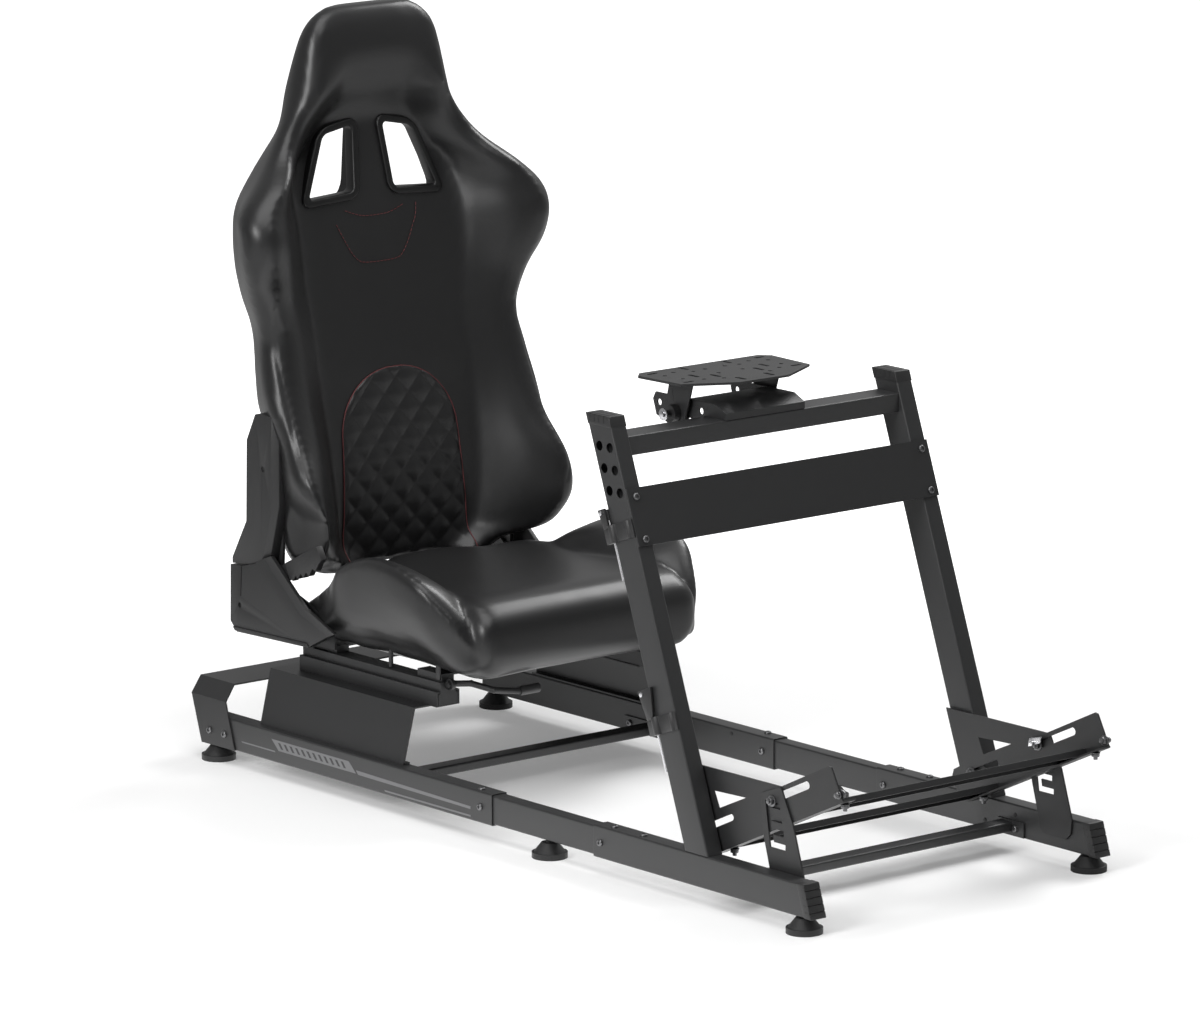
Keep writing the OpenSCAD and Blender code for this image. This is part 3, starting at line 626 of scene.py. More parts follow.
# z, centre y, inner foot of bolster, crest x, crest y, half width, y there, back half width, back y
slices = [
    [300, 598, 96, 116, 559, 172, 590, 168, 612],
    [318, 599, 116, 157, 555, 205, 590, 202, 622],
    [341, 600, 142, 223, 510, 247, 544, 215, 630],
    [369, 600, 150, 238, 490, 264, 521, 220, 637],
    [398, 600, 156, 248, 479, 273, 511, 220, 641],
    [434, 602, 162, 251, 480, 272, 511, 222, 646],
    [475, 605, 166, 250, 495, 266, 527, 225, 652],
    [522, 610, 168, 244, 528, 259, 559, 228, 661],
    [573, 617, 168, 246, 556, 267, 588, 240, 671],
    [632, 625, 168, 244, 581, 264, 614, 236, 685],
    [692, 638, 170, 238, 595, 258, 628, 231, 699],
    [751, 649, 176, 256, 590, 276, 627, 243, 709],
    [801, 658, 182, 266, 570, 296, 609, 252, 711],
    [851, 667, 182, 271, 561, 302, 606, 252, 715],
    [891, 675, 184, 264, 574, 296, 620, 245, 718],
    [934, 686, 182, 230, 594, 254, 635, 220, 720],
    [974, 692, 134, 198, 638, 212, 660, 189, 722],
    [1009, 693, 98, 174, 653, 184, 676, 160, 723],
    [1037, 682, 64, 151, 652, 166, 681, 151, 724],
    [1067, 665, 70, 129, 643, 153, 682, 141, 727],
    [1122, 648, 64, 118, 644, 139, 680, 128, 717],
    [1162, 647, 59, 107, 649, 126, 676, 115, 708],
    [1186, 653, 49, 90, 657, 106, 677, 94, 700],
    [1200, 661, 33, 66, 665, 78, 678, 70, 693],
]


lever_top, lever_rear, half_at_lever, softness = 404, 565, 226, 6


def lever_room(x, y, z):
    """Draws the cover in softly on the driver's right, where the recline lever swings close by."""
    away = max(0.0, (z - lever_top) / 75, (y - lever_rear) / 40)
    if x > -150 or away > 1.4:
        return x
    room = half_at_lever + 50 * away
    return softness * math.log(math.exp(x / softness) + math.exp(-room / softness))


belt_z, belt_reach, belt_round = 945, 62, 12


def slice_ring(row, points):
    """A smooth closed ring from one row of the table. Round the belt openings the face is rounded."""
    z, centre, foot, crest_x, crest_y, half, half_y, back_half, back = row
    belt = math.exp(-(((z - belt_z) / belt_reach) ** 2))
    outer = centre + belt_round * belt
    depth = outer - crest_y
    from_x = 0.74 * foot
    slope = [
        (from_x + t * (crest_x - from_x), outer - depth * (t * t * (3 - 2 * t)))
        for t in (0.15, 0.32, 0.48, 0.64, 0.8, 0.92)
    ]
    side = [
        (0, centre - 0.75 * belt_round * belt), (0.3 * foot, centre - 0.5 * belt_round * belt),
        *slope, (crest_x, crest_y),
        (half - 0.2 * (half - crest_x), crest_y + 0.35 * (half_y - crest_y)), (half, half_y),
        (0.45 * half + 0.55 * back_half, 0.5 * (half_y + back)), (back_half, back - 14),
        (back_half - 18, back), (0.45 * back_half, back + 4), (0, back + 5),
    ]
    loop = side + [(-x, y) for x, y in side[-2:0:-1]]
    dense = curve_through(loop + [loop[0]], points + 1)[:-1]
    return [(lever_room(x, y, z), y, z) for x, y in dense]


rows = curve_through(slices, 64)
backrest = wrapped("backrest_cover", [slice_ring(row, 92) for row in rows])
backrest = swollen(backrest, 7, 6)
print("backrest", [round(v * 1000) for v in backrest.dimensions], "mm")

# %% [markdown]
# The belt openings go right through. They are cut with a four-cornered prism whose corners are
# rounded first, and the same outline, a little larger or smaller, makes the plastic rim that
# lines each opening. A rim could be swept along the edge, but two prisms leave a true wall.

# %% Belt openings and rims
opening = [(31, 1001), (88, 990), (129, 891), (41, 897)]
opening_corner = 9


def opening_prism(name, grow, side, y0, depth):
    """The opening's outline, moved outwards by grow and rounded, as a prism along y."""
    centre = Vector((sum(x for x, z in opening) / 4, sum(z for x, z in opening) / 4))
    corners = []
    for i in range(4):
        before, here, after = (Vector(opening[(i + k) % 4]) for k in (-1, 0, 1))
        a, b = (here - before).normalized(), (after - here).normalized()
        na, nb = Vector((-a.y, a.x)), Vector((-b.y, b.x))
        if (here - centre).dot(na) < 0:
            na, nb = -na, -nb
        corners.append(here + (na + nb) * grow / (1 + na.dot(nb)))
    ob = sheet_from(name, [(side * c.x, c.y) for c in corners], "y", y0, depth)
    corner = opening_corner + grow
    return bevel_edges(ob, lambda end, other: abs(end.y - other.y) > 0.0005, corner, 6)


def front_of(ob):
    """A function that gives the y of the object's front at (x, z), in millimetres."""
    choose_only(ob)
    tree = BVHTree.FromObject(ob, bpy.context.evaluated_depsgraph_get())

    def front(x, z):
        hit = tree.ray_cast(Vector((x / 1000, 0, z / 1000)), Vector((0, 1, 0)))[0]
        return hit.y * 1000 if hit else face_y(z)

    return front


def opening_plane(front, side):
    """The plane y = a + b x + c z that lies best on the cover round an opening."""
    probe = opening_prism("probe", 17, 1, 0, 1)
    outline = [(side * v.co.x * 1000, v.co.z * 1000) for v in probe.data.vertices]
    bpy.data.objects.remove(probe)
    table = np.array([(1, x, z) for x, z in outline])
    return np.linalg.lstsq(table, np.array([front(x, z) for x, z in outline]), rcond=None)[0]


def lay_on(ob, plane):
    """Slide every point along y, so that y = 0 lies on the plane."""
    a, b, c = plane
    for vertex in ob.data.vertices:
        vertex.co.y += (a + b * vertex.co.x * 1000 + c * vertex.co.z * 1000) / 1000
    return ob


cover_face = front_of(backrest)
rim_wall, rim_proud, rim_deep = 12, 5, 17
front_hole, rear_hole = 9, 25
before, right_through = -90, 200
rims = []
for side in (-1, 1):
    plane = opening_plane(cover_face, side)
    hole = opening_prism("hole", front_hole, side, before, right_through)
    backrest = cut(backrest, lay_on(hole, plane))
    wide = opening_prism("wide", rear_hole, side, rim_deep - 7, right_through)
    backrest = cut(backrest, lay_on(wide, plane))
    rim = opening_prism("rim", rim_wall, side, -rim_proud, rim_deep + rim_proud)
    rim = cut(rim, opening_prism("hole", 0, side, before, right_through))
    rims.append(bevel(lay_on(rim, plane), 3.2, 3))
settle(joined("belt_opening_rims", *rims), "back", "gloss", gloss, "harness_rims")

# %% [markdown]
# Seams are sewn in after the swelling, because a remesh wipes them out. Each seam is a line on
# the front view, and every point of the cover near it sinks a little.

# %% Backrest seams
def sink_along(ob, line, width, depth):
    """Press a groove along a line of (x, z) points into the faces that look forward."""
    line = np.array(line) / 1000
    places, normals = points_of(ob), points_of(ob, "normal")
    flat = places[:, [0, 2]]
    near = np.full(len(places), 9.0)
    for a, b in zip(line[:-1], line[1:]):
        along = b - a
        t = np.clip(((flat - a) @ along) / (along @ along), 0, 1)
        near = np.minimum(near, np.linalg.norm(flat - (a + t[:, None] * along), axis=1))
    pull = depth / 1000 * np.exp(-((near / (width / 1000)) ** 2)) * (normals[:, 1] < -0.1)
    places -= normals * pull[:, None]
    ob.data.vertices.foreach_set("co", places.ravel())
    ob.data.update()


bolster_seam = [
    (252, 420), (262, 450), (262, 480), (254, 525), (249, 573), (247, 632), (246, 700), (250, 740)
]
for side in (-1, 1):
    sink_along(backrest, [(side * x, z) for x, z in bolster_seam], 3.0, 1.0)
settle(backrest, "back", "leather", leather, "backrest", angle=70)

# %% [markdown]
# ## Cushion
#
# The cushion has a flat-topped centre whose nose stands forward with rounded corners, and a
# bolster on each side that leans outwards and runs down to a tip at the nose. One mesh could
# hold all three, but the real cover is sewn from panels that meet in deep creases. So the three
# forms are made apart, pushed into each other, and the remesh melts them into one skin.

# %% Cushion forms
def rounded_slab(name, profile, half, corner):
    """A (y, z) profile stretched across x, whose ends draw in by a corner radius."""
    dense = curve_through(profile + [profile[0]], 76)[:-1]
    middle = dense.mean(axis=0)
    reach = np.abs(dense - middle).max(axis=0)
    rings = []
    for s in np.linspace(-1, 1, 44):
        x = half * math.sin(s * math.pi / 2)
        over = max(0.0, abs(x) - (half - corner)) / corner
        draw = corner * (1 - math.sqrt(max(0.0, 1 - over * over)))
        ring = middle + (dense - middle) * (1 - draw / reach)
        rings.append([(x, y, z) for y, z in ring])
    return wrapped(name, rings)


centre_profile = [
    (190, 218), (150, 220), (122, 226), (108, 245), (106, 275), (111, 302), (129, 320), (165, 329),
    (250, 328), (380, 325), (480, 325), (556, 322), (576, 303), (574, 260), (560, 229), (350, 219),
]
centre = rounded_slab("centre", centre_profile, 222, 34)

# The rear edge draws forward at both sides, clear of the backrest's bolsters. All in metres.
side_starts, side_blend = 0.055, 0.05
rear_starts, rear_length, rear_draw = 0.480, 0.096, 0.044
for vertex in centre.data.vertices:
    beside = min(1.0, max(0.0, (abs(vertex.co.x) - side_starts) / side_blend))
    draw = max(0.0, vertex.co.y - rear_starts) / rear_length * rear_draw
    vertex.co.y -= draw * beside * beside * (3 - 2 * beside)

# y, crest z, crest x, outer x at the bottom, bottom z, inner x
bolster_rows = [
    [124, 262, 208, 210, 236, 160],
    [136, 282, 230, 230, 230, 188],
    [150, 308, 243, 236, 228, 185],
    [168, 331, 251, 238, 227, 180],
    [190, 352, 258, 238, 226, 174],
    [215, 369, 263, 237, 225, 168],
    [260, 383, 264, 236, 225, 162],
    [310, 390, 262, 236, 225, 158],
    [360, 385, 259, 236, 226, 154],
    [410, 370, 256, 236, 226, 150],
    [446, 353, 250, 234, 227, 146],
    [474, 331, 240, 231, 227, 142],
    [507, 309, 232, 230, 226, 138],
    [540, 287, 228, 228, 226, 138],
    [570, 268, 225, 225, 226, 138],
    [594, 256, 222, 222, 226, 138],
]


def bolster_ring(row, side, points=60):
    """A bolster's slice: flat outside, a firm ridge, and a slope down to the centre."""
    y, top, crest, low_x, low_z, inner = row
    tall = top - low_z
    loop = [
        (low_x - 6, low_z), (low_x + 4, low_z + 0.12 * tall), (crest + 2, low_z + 0.62 * tall),
        (crest + 7, top - 0.12 * tall), (crest + 4, top - 3), (crest - 6, top),
        (crest - 22, top - 0.05 * tall), (inner + 0.32 * (crest - inner), top - 0.28 * tall),
        (inner, low_z + 0.5 * tall), (inner - 4, low_z + 0.25 * tall), (inner + 4, low_z + 4),
    ]
    dense = curve_through(loop + [loop[0]], points + 1)[:-1]
    return [(side * x, y, z) for x, z in dense]


def drawn_in(ring):
    """A ring shrunk to a dot, which closes a form's end."""
    middle = np.mean(ring, axis=0)
    return [tuple(middle + (np.array(point) - middle) * 0.02) for point in ring]


forms = [centre]
for side in (-1, 1):
    rings = [bolster_ring(row, side) for row in curve_through(bolster_rows, 40)]
    forms.append(wrapped("bolster", [drawn_in(rings[0]), *rings, drawn_in(rings[-1])]))
cushion = joined("seat_cushion_cover", *forms)
cushion = swollen(cushion, 5.5, 8)
print("cushion", [round(v * 1000) for v in cushion.dimensions], "mm")
settle(cushion, "seat", "leather", leather, "seat_cushion", angle=70)

# %% [markdown]
# ## Lumbar pad
#
# A quilted pad is sewn on the lower half of the backrest. Its top is an arch, its pillows are
# diamonds about 50 mm across, and a dark red cord runs round it. The pillows could be a bump
# map, but then the outline stays flat. So a fine grid is laid on the backrest's real surface and
# every point lifted by the quilt's height there.

# %% Quilted pad
on_backrest = front_of(backrest)


def pad_half(z):
    """Half the pad's width at a height."""
    side = np.interp(z, [310, 520, 580], [128, 115, 108])
    arch = max(0.0, 1 - max(0.0, (z - 518) / 99.5) ** 2.3)
    return side * arch**0.5


pad_low, pad_high = 312, 617
pillow_x, pillow_z = 49.0, 50.0
columns, levels = 120, 130
rings = []
for s in np.linspace(0, 1, levels):
    z = pad_low + (pad_high - pad_low) * (1 - (1 - s) ** 1.25)
    half = pad_half(z)
    front, back = [], []
    for t in np.linspace(-1, 1, columns):
        x = half * math.sin(t * math.pi / 2)
        u, v = x / pillow_x + z / pillow_z, x / pillow_x - z / pillow_z
        pillow = (abs(math.sin(math.pi * u)) * abs(math.sin(math.pi * v))) ** 0.7
        edge = min(1.0, (half - abs(x)) / 7, (z - pad_low) / 7 + 0.2, (pad_high - z) / 7)
        y = on_backrest(x, z)
        front.append((x, y - 1.0 - max(0.0, edge) ** 0.5 * (1.5 + 3.2 * pillow), z))
        back.append((x, y + 3.0, z))
    rings.append(front + back[::-1])
pad = wrapped("lumbar_pad_quilted", rings)
settle(pad, "back", "leather", leather, "lumbar_pad", angle=80)

# %% [markdown]
# Piping and stitches follow the surface as well. A path is drawn through points on the
# backrest, given a round section, and turned into a mesh. Stitches are short pieces of the same
# thread with gaps between them.

# %% Piping and stitches
def thread(name, points, radius):
    """A round cord through points in millimetres."""
    start_clean()
    bpy.ops.curve.primitive_nurbs_path_add()
    path = bpy.context.object
    path.data.splines.clear()
    spline = path.data.splines.new("POLY")
    spline.points.add(len(points) - 1)
    for target, point in zip(spline.points, points):
        target.co = (*(Vector(point) / 1000), 1)
    path.data.bevel_depth = radius / 1000
    path.data.bevel_resolution = 2
    path.data.use_fill_caps = True
    bpy.ops.object.convert(target="MESH")
    ob = bpy.context.object
    ob.name = ob.data.name = name
    ob.location = (0, 0, 0)
    return ob


def spaced(points, step):
    """Points at even steps along a polyline."""
    points = np.array(points, float)
    lengths = np.concatenate([[0], np.cumsum(np.linalg.norm(np.diff(points, axis=0), axis=1))])
    stops = np.arange(0, lengths[-1], step)
    return np.stack([np.interp(stops, lengths, points[:, i]) for i in range(points.shape[1])], axis=1)


border = [(-pad_half(z) - 0.5, z) for z in np.linspace(pad_low, pad_high - 0.3, 90)]
border += [(-x, z) for x, z in border[::-1]]
border = [(x, on_backrest(x, z) - 1.2, z) for x, z in spaced(border, 4)]
settle(thread("pad_piping", border, 1.0), "back", "leather", red_thread, angle=60)


def stitches(name, line, radius=0.65, stitch=4.6, gap=2.6, lift=1.2):
    """Short threads laid on the backrest along a front view line of (x, z) points."""
    dots = spaced(line, (stitch + gap) / 2)
    bits = []
    for a, b in zip(dots[0::2], dots[1::2]):
        b = a + (b - a) * 2 * stitch / (stitch + gap)
        ends = [(x, on_backrest(x, z) - lift, z) for x, z in (a, (a + b) / 2, b)]
        bits.append(thread("bit", ends, radius))
    return joined(name, *bits)


shield_side = [(80, 848), (74, 836), (58, 806), (44, 789), (30, 784)]
shield = [(-x, z) for x, z in shield_side] + [(0, 783)] + shield_side[::-1] + [(84, 872)]
shield = curve_through(shield, 90)
top_line = curve_through([(-60, 868), (-30, 858), (0, 856), (30, 858), (60, 868)], 30)
sewn = joined("shoulder_stitches", stitches("shield", shield), stitches("top", top_line))
settle(sewn, "back", "leather", red_thread, angle=60)
print("stitches laid")

# %% [markdown]
# ## Recliner
#
# On each side a flat cover hides the recline gear, and an arm rises from it and holds the
# backrest. Both are moulded, with a wide slanted facet towards the driver's knees. A slab with a
# wide chamfer on that edge gives the facet, and the small edges get a fine bevel afterwards.

# %% Covers and arms
def chamfer_edge(ob, corners, width, outer_x):
    """Chamfer the outer edge that runs through these (y, z) corners of a slab along x."""
    spots = [Vector((outer_x / 1000, y / 1000, z / 1000)) for y, z in corners]

    def runs_through(*ends):
        return all(min((end - spot).length for spot in spots) < 0.0005 for end in ends)

    return bevel_edges(ob, runs_through, width, 1)


arm_x, arm_thick = -262, 26
arm_front = [(612, 336), (588, 424), (586, 570)]
arm_outline = arm_front + [(637, 568), (660, 523), (663, 392), (700, 328), (700, 318), (660, 322)]
arm = sheet_from("arm", arm_outline, "x", arm_x, arm_thick)
arm = chamfer_edge(arm, arm_front, 9, arm_x)
arm = cut(arm, rod_from("dimple", (arm_x - 8, 618, 482), (arm_x + 3, 618, 482), 4.5))
arm = bevel(arm, 1.2)
plate_outline = [(605, 300), (700, 300), (700, 340), (662, 400), (600, 400)]
plate = bevel(sheet_from("plate", plate_outline, "x", arm_x + arm_thick, 6), 0.8)
arm = joined("recliner_arm_dressed_right", arm, plate)

cover_x = -264
cover_front = [(445, 243.5), (520, 273), (607, 343)]
cover_outline = cover_front + [(640, 326), (672, 318), (702, 316), (703.5, 224), (687, 208.5), (503, 214)]
cover = sheet_from("cover", cover_outline, "x", cover_x, 15)
cover = chamfer_edge(cover, cover_front, 8, cover_x)
dimple = rod_from("dimple", (cover_x - 6, 679, 253), (cover_x + 4, 679, 253), 4.5)
split_outline = [(672, 322), (674, 322), (677, 268), (675, 268)]
cover = cut(cover, dimple, sheet_from("split", split_outline, "x", cover_x - 2, 4))
cover = bevel(cover, 1.0)
strip_outline = [(500, 215.5), (690, 210), (696, 216), (505, 221)]
strip = sheet_from("strip", strip_outline, "x", cover_x - 2, 3)
cover = joined("recliner_cover_dressed_right", cover, bevel(strip, 0.8))

for side in sides:
    if side == "left":
        arm = mirrored(arm, "recliner_arm_dressed_left")
        cover = mirrored(cover, "recliner_cover_dressed_left")
    settle(arm, "back", "plastic", moulded, f"recliner_arm_{side}")
    settle(cover, "seat", "plastic", moulded, f"recliner_cover_{side}")

# %% [markdown]
# The recline lever is a flat steel stem with a moulded grip, toothed below for the fingers. Its
# grip could be a block with cuts, but the teeth are plain in its outline, so it is drawn.

# %% Recline lever
stem_x, stem_thick = -246, 4
recline_pivot = (650, 280)
stem_outline = [(644, 266), (662, 292), (560, 346), (548, 322)]
stem = sheet_from("stem", stem_outline, "x", stem_x, stem_thick)
hub = rod_from("hub", (stem_x, *recline_pivot), (stem_x + stem_thick, *recline_pivot), 18, 40)
stem = joined("stem", stem, hub)
teeth = [
    (553, 311), (546, 321), (541, 316), (533, 326), (527, 320), (519, 331), (512, 325), (503, 339),
    (495, 336),
]
handle_outline = [(574, 337), (492, 377), (479, 357), (487, 349)] + teeth[::-1] + [(562, 313)]
handle = sheet_from("handle", handle_outline, "x", stem_x - 8, 12)
lever = joined("recline_lever_dressed", bevel(stem, 0.8), bevel(handle, 1.4))
settle(lever, "lever", "plastic", moulded, "recline_lever")

# %% [markdown]
# ## End caps
#
# Ribbed plastic caps close the rails' slanted ends and the uprights' tops. The ribs could be a
# row of small blocks, but they are really grooves pressed in round the end. One U-shaped cutter
# is pushed into the cap at each groove.

# %% Cap outlines
rail_low, rail_high = 26.5, 76.5
slant = (730.7 - 714) / 50
lean_angle = math.radians(20)
lean = math.tan(lean_angle)
deep = 50 / math.cos(lean_angle)
cap_start, cap_width = -300.4, 30.8
groove_width, groove_depth = 1.8, 0.3
cap_top = 703.4


def end_y(z):
    """The y of the rail cap's slanted face at a height."""
    return -719 - (rail_high - z) * slant


def upright_y(z):
    """The front face of an upright at a height."""
    return -505.5 + (z - rail_high) * lean


def behind_edge(edge, low, high, depth, spare=0.0):
    """A (y, z) outline from a leaning edge to depth behind it, spare wider at front and back."""
    front = [(edge(z) - spare, z) for z in (low, high)]
    return front + [(edge(z) + depth + spare, z) for z in (high, low)]


def groove_round(outside, floor, tip):
    """The U of a groove: from outside the cap's end to its floor, and along both sides to tip."""
    beyond = 1.1
    near, far = cap_start, cap_start + cap_width
    return [
        (near - beyond, outside), (far + beyond, outside), (far + beyond, tip),
        (far - groove_depth, tip), (far - groove_depth, floor), (near + groove_depth, floor),
        (near + groove_depth, tip), (near - beyond, tip),
    ]


print("an upright leans back", round(lean * 1000), "mm in each metre")

# %% Ribbed caps
cap = sheet_from("cap", behind_edge(end_y, 26.1, 76.9, 17), "x", cap_start, cap_width)
cap = bevel(cap, 1.5, 3)
for z in (36, 46.5, 57, 67.5):
    groove = groove_round(end_y(z) - 4, end_y(z) + 1.6, end_y(z) + 9)
    cap = cut(cap, sheet_from("groove", groove, "z", z - groove_width / 2, groove_width))
head_outline = behind_edge(upright_y, 687, cap_top, deep, 0.4)
head_cap = bevel(sheet_from("head_cap", head_outline, "x", cap_start, cap_width), 1.2, 3)
for k in range(1, 5):
    y = upright_y(cap_top) + k * deep / 5
    groove = groove_round(706, 702.2, 692)
    cutter = sheet_from("groove", groove, "y", y - groove_width / 2, groove_width)
    head_cap = cut(head_cap, cutter)
tail_outline = [(-299.5, 27), (-270.5, 27), (-270.5, 76), (-299.5, 76)]
tail_cap = bevel(sheet_from("tail_cap", tail_outline, "y", 724.5, 3.5), 1.0)
caps = joined("ribbed_caps_right", cap, head_cap, tail_cap)
caps = joined("ribbed_caps", caps, mirrored(caps, "ribbed_caps_left"))
settle(caps, "frame", "plastic", moulded, "tube_caps")

# %% [markdown]
# ## Bolts
#
# Button-head bolts hold the frame together. One head is modelled: a short cylinder, its top edge
# rounded off by a bevel in four steps, and a six-sided socket cut into it. All others are
# copies, turned to their face. Each is given on the driver's right, and its twin is mirrored.

# %% Bolt heads
def button_head(radius=5.6, height=3.4):
    """A button-head bolt that stands on the origin and looks along +Z."""
    start_clean()
    bpy.ops.mesh.primitive_cylinder_add(
        vertices=24, radius=radius / 1000, depth=height / 1000, location=(0, 0, height / 2000)
    )
    ob = bpy.context.object
    bpy.ops.object.transform_apply(location=True)
    bpy.ops.object.mode_set(mode="EDIT")
    bpy.ops.mesh.select_all(action="DESELECT")
    bpy.ops.object.mode_set(mode="OBJECT")
    for face in ob.data.polygons:
        face.select = face.normal.z > 0.9
    bpy.ops.object.mode_set(mode="EDIT")
    bpy.ops.mesh.select_mode(type="FACE")
    bpy.ops.mesh.bevel(offset=radius * 0.42 / 1000, segments=4)
    bpy.ops.object.mode_set(mode="OBJECT")
    start_clean()
    bpy.ops.mesh.primitive_cylinder_add(
        vertices=6, radius=radius * 0.5 / 1000, depth=height / 1000, location=(0, 0, height / 1000)
    )
    socket = bpy.context.object
    bpy.ops.object.transform_apply(location=True)
    return cut(ob, socket)


master_bolt = button_head()


def bolts(places):
    """Copies of the bolt head at each (x, y, z) along its direction, on both sides."""
    made = []
    for (x, y, z), (aim_x, aim_y, aim_z) in places:
        for side in (1, -1):
            ob = copy_of(master_bolt, "bolt")
            turn = Vector((aim_x * side, aim_y, aim_z)).to_track_quat("Z", "Y").to_matrix().to_4x4()
            ob.data.transform(Matrix.Translation((x * side / 1000, y / 1000, z / 1000)) @ turn)
            made.append(ob)
    return made


outward, inward, up = (-1, 0, 0), (1, 0, 0), (0, 0, 1)
forward = (0, -math.cos(lean_angle), math.sin(lean_angle))
arch_bolts = [((-303, 710, 49.5), outward), ((-303, 671, 49.5), outward)]
cross_tube_bolts = [
    ((-300, 28, 52), outward), ((-300, -258, 51), outward),
    ((-270, 28, 52), inward), ((-270, -258, 51), inward),
]
rail_bolts = [((-290, 36, rail_high), up), ((-288, -278, rail_high), up), ((-288, -345, rail_high), up)]
brace_bolts = [((-285, upright_y(z) - 3.2, z + 1), forward) for z in (526.5, 587.5)]
inner_bolts = [((-267, 347, 40.6), inward), ((-267, -560, 39), inward)]
made = bolts(arch_bolts + cross_tube_bolts + rail_bolts + brace_bolts + inner_bolts)
settle(joined("frame_bolts", *made), "frame", "steel_top", zinc)
bpy.data.objects.remove(master_bolt)

# %% [markdown]
# ## Stripes
#
# A silver-grey stripe runs along each rear rail: a slanted panel with slots like a comb, and
# three thin bands. It could be painted in the coat's material, but then it couldn't be
# peeled off or moved. So it is a film of its own, a few tenths of a millimetre thick.

# %% Rail stripes
film_x, film = -300.3, 0.5
slot_count, slot_step = 12, 14.6
panel = sheet_from("panel", [(551, 63.5), (533, 47), (335, 47), (353, 63.5)], "x", film_x, film)
for i in range(slot_count):
    y = 524 - i * slot_step
    slot = [(y + 10.5, 60), (y + 2.5, 50.5), (y - 3.5, 50.5), (y + 4.5, 60)]
    panel = cut(panel, sheet_from("slot", slot, "x", film_x - 1, 2))
bands = [
    [(630, 45.4), (543, 45.4), (541, 43.2), (628, 43.2)],
    [(335, 52.5), (330, 46.2), (51, 44.2), (51, 48.6)],
    [(264, 34.4), (51, 34.8), (51, 32.0), (262, 31.8)],
]
stripe = joined("rail_stripes", panel, *[sheet_from("band", b, "x", film_x, film) for b in bands])
stripe = joined("rail_stripes", stripe, mirrored(stripe, "rail_stripes_left"))
settle(stripe, "frame", "steel_tube", stripe_ink)

# %% [markdown]
# ## Deck knobs
#
# The deck tilts about two bolts with moulded hand grips. The grips stay as the CAD gives them.
# Each bolt's bright end shows in the middle of its grip, a thin ring with a six-sided head.

# %% Knob heads
deck_pivot = (-182, 670)
knob_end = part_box("deck_tilt_bolts")[1][0] * 1000


def pivot_rod(name, side, start_at, end_at, radius, corners):
    """A rod on the deck's pivot, from one distance past the grip's end to another."""
    a, b = ((side * (knob_end + past), *deck_pivot) for past in (start_at, end_at))
    return rod_from(name, a, b, radius, corners)


heads = []
for side in (-1, 1):
    heads.append(bevel(pivot_rod("ring", side, -0.5, 0.8, 9.5, 32), 0.3))
    heads.append(bevel(pivot_rod("head", side, 0.5, 4.5, 6, 6), 0.5))
settle(joined("deck_knob_heads", *heads), "frame", "bright", plated)

# %% [markdown]
# ## Clips and tray hardware
#
# The clips on the upright are bent bands with a round barrel for the rod and an ear with a
# screw. A band could be bent from a strip by a modifier, but its section is known, so the
# section is drawn and stretched, and the whole clip is then leant with the upright.

# %% Clips on the upright
def lean_with_upright(ob, z):
    """Move a piece from the clip's own axes to the upright's back face at a height."""
    turn = Matrix.Rotation(-lean_angle, 4, "X")
    ob.data.transform(Matrix.Translation((-0.3, (upright_y(z) + deep) / 1000, z / 1000)) @ turn)
    return ob


def bulge(y, radius, reach, points):
    """An arc of the band that bulges out of the upright's side at y. reach is in radians."""
    turns = np.linspace(-reach, reach, points)
    return [(-1 - radius * math.cos(a), y + radius * math.sin(a)) for a in turns]


band_outline = [(0, -51), (-2.6, -51), (-2.6, -44.5), *bulge(-40, 4.2, 1.0, 8), (-2.6, -35)]
band_outline += bulge(-5, 8.5, 1.25, 14)
band_outline += [(-2.6, 4.5), (-2.6, 16.5), (24, 16.5), (24, 0), (0, 0)]
ears = {528: [(0, 10), (12, 10), (17, 40), (1, 40)], 254: [(-3, 10), (11, 10), (19, 56), (-13, 58)]}
clips, screws = [], []
for z, ear_outline in ears.items():
    band = sheet_from("band", band_outline, "z", -13.5, 27)
    band = bevel(cut(band, rod_from("bore", (10, 9, -20), (10, 9, 20), 4.05, 32)), 0.7)
    ear = bevel(sheet_from("ear", ear_outline, "x", -6, 4), 0.7)
    top = ear_outline[2][1] - 6
    jaw_outline = [(-2, top - 12), (12, top - 12), (14, top + 4), (0, top + 4)]
    jaw = bevel(sheet_from("jaw", jaw_outline, "x", -2.5, 9), 0.8)
    screw = bevel(rod_from("screw", (-9.5, 9, top), (-5.5, 9, top), 3.6, 24), 0.7)
    clips.append(lean_with_upright(joined("clip", band, ear, jaw), z))
    screws.append(lean_with_upright(screw, z))
settle(joined("rod_clips", *clips), "frame", "plastic", moulded, "tool_clips")
settle(joined("clip_screws", *screws), "frame", "bright", plated)

# %% [markdown]
# The pedal tray is held by hexagon nuts on washers, with the bolt's end standing out of each.
# Every fixing is the same three cylinders, so a helper makes one at a place and in a direction.

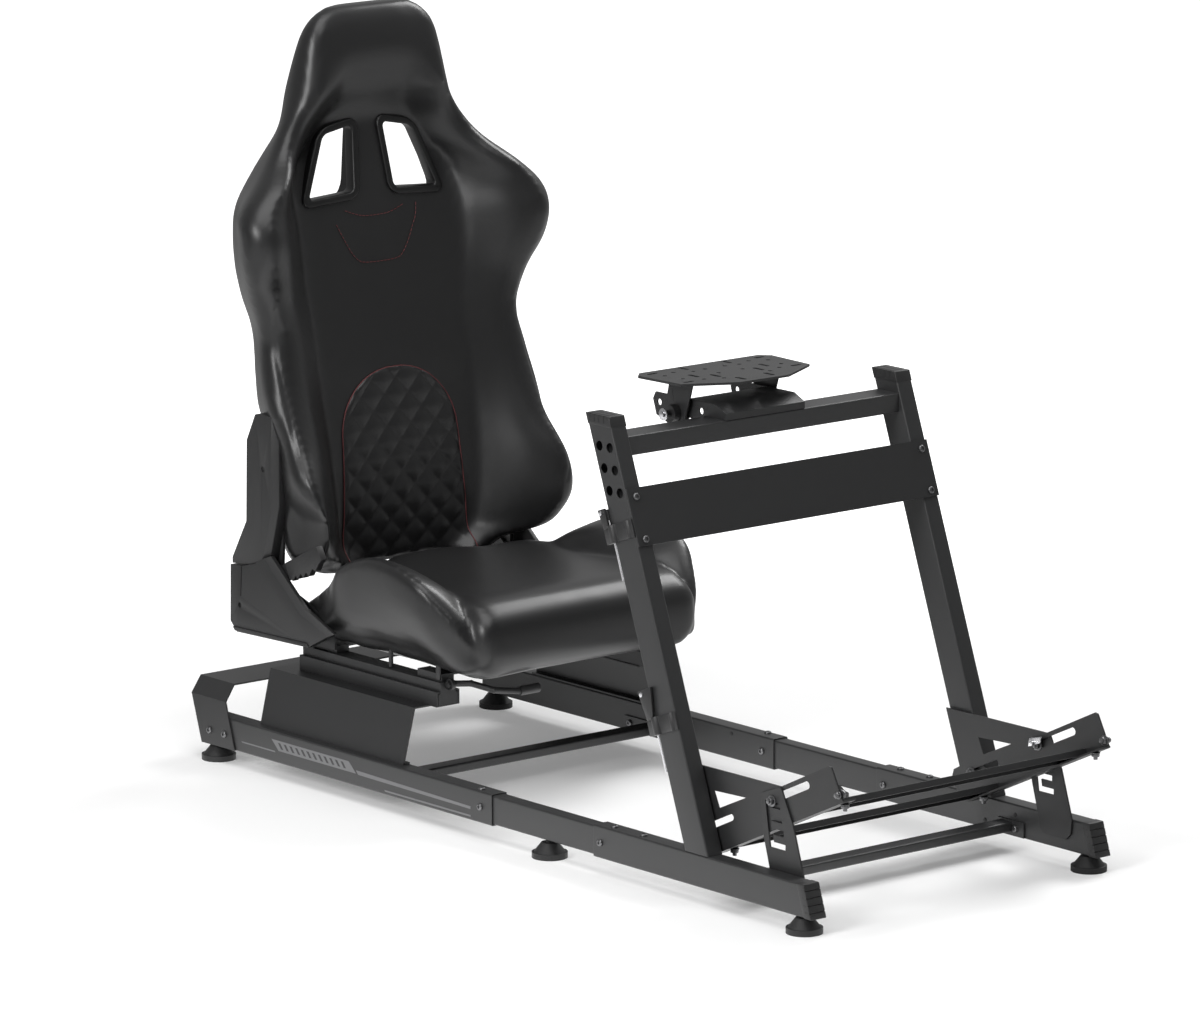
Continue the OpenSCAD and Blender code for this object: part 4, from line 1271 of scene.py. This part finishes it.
# %% Tray nuts
def hexagon_fixing(place, direction, nut=6.4, washer=8.6, stub=9.0):
    """A washer, a hexagon nut and a bolt's end, standing out from a face."""
    place, direction = Vector(place), Vector(direction)
    parts = [
        rod_from("washer", place, place + direction * 1.4, washer, 28),
        rod_from("nut", place + direction * 1.2, place + direction * 6.4, nut, 6),
        rod_from("stub", place + direction * 1.2, place + direction * stub, nut * 0.5, 20),
    ]
    return joined("fixing", *[bevel(ob, 0.35) for ob in parts])


def tray_edge(y):
    """The tray's lower edge at a y."""
    return 84 + (-510 - y) * math.tan(math.radians(25))


nuts, clamps = [], []
bracket_outline = [(-598, 176), (-624, 186), (-626, 196), (-600, 190)]
for side in (-1, 1):
    for y, z in ((-465, 110), (-612, 180), (-757, 213)):
        nuts.append(hexagon_fixing((side * 264, y, z), (-side, 0, 0)))
    nuts.append(hexagon_fixing((side * 267, -757, 213), (side, 0, 0), 4.5, 6.0, 7.0))
    nuts.append(hexagon_fixing((side * 270, -614, 178), (side, 0, 0)))
    for y in (-752, -508):
        nuts.append(hexagon_fixing((side * 250, y, tray_edge(y) - 0.3), (0, 0, -1), 6.4, 7.0, 11.0))
    bracket = sheet_from("bracket", bracket_outline, "x", side * 258 - 1.5, 3)
    head = rod_from("head", (side * 264, -608, 183), (side * 252, -608, 183), 4.2, 20)
    clamps += [bevel(bracket, 0.6), bevel(head, 0.5)]
settle(joined("tray_nuts", *nuts), "frame", "steel_top", zinc)
settle(joined("tray_clamps", *clamps), "frame", "bright", plated)

# %% [markdown]
# Two small things remain. A tab with a stud stands up from the seat slide's upper rail, and
# rides with the seat. The rails' unused holes are closed by low rubber plugs.

# %% Slide tab and rail plugs
tab = bevel(sheet_from("tab", [(217, 206), (227, 206), (227, 240), (217, 240)], "x", -227, 3), 0.6)
stud = bevel(rod_from("stud", (-224, 342, 206), (-224, 342, 238), 3.6, 20), 0.5)
settle(joined("slide_tab", tab, stud), "seat", "steel_top", moulded)
plugs = []
for side in (-1, 1):
    for y, z in ((101, 67), (-490, 39.4), (-557, 60)):
        plugs.append(bevel(rod_from("plug", (side * 270.2, y, z), (side * 269.2, y, z), 3.4, 20), 0.2))
settle(joined("rail_plugs", *plugs), "frame", "plastic", rubber)
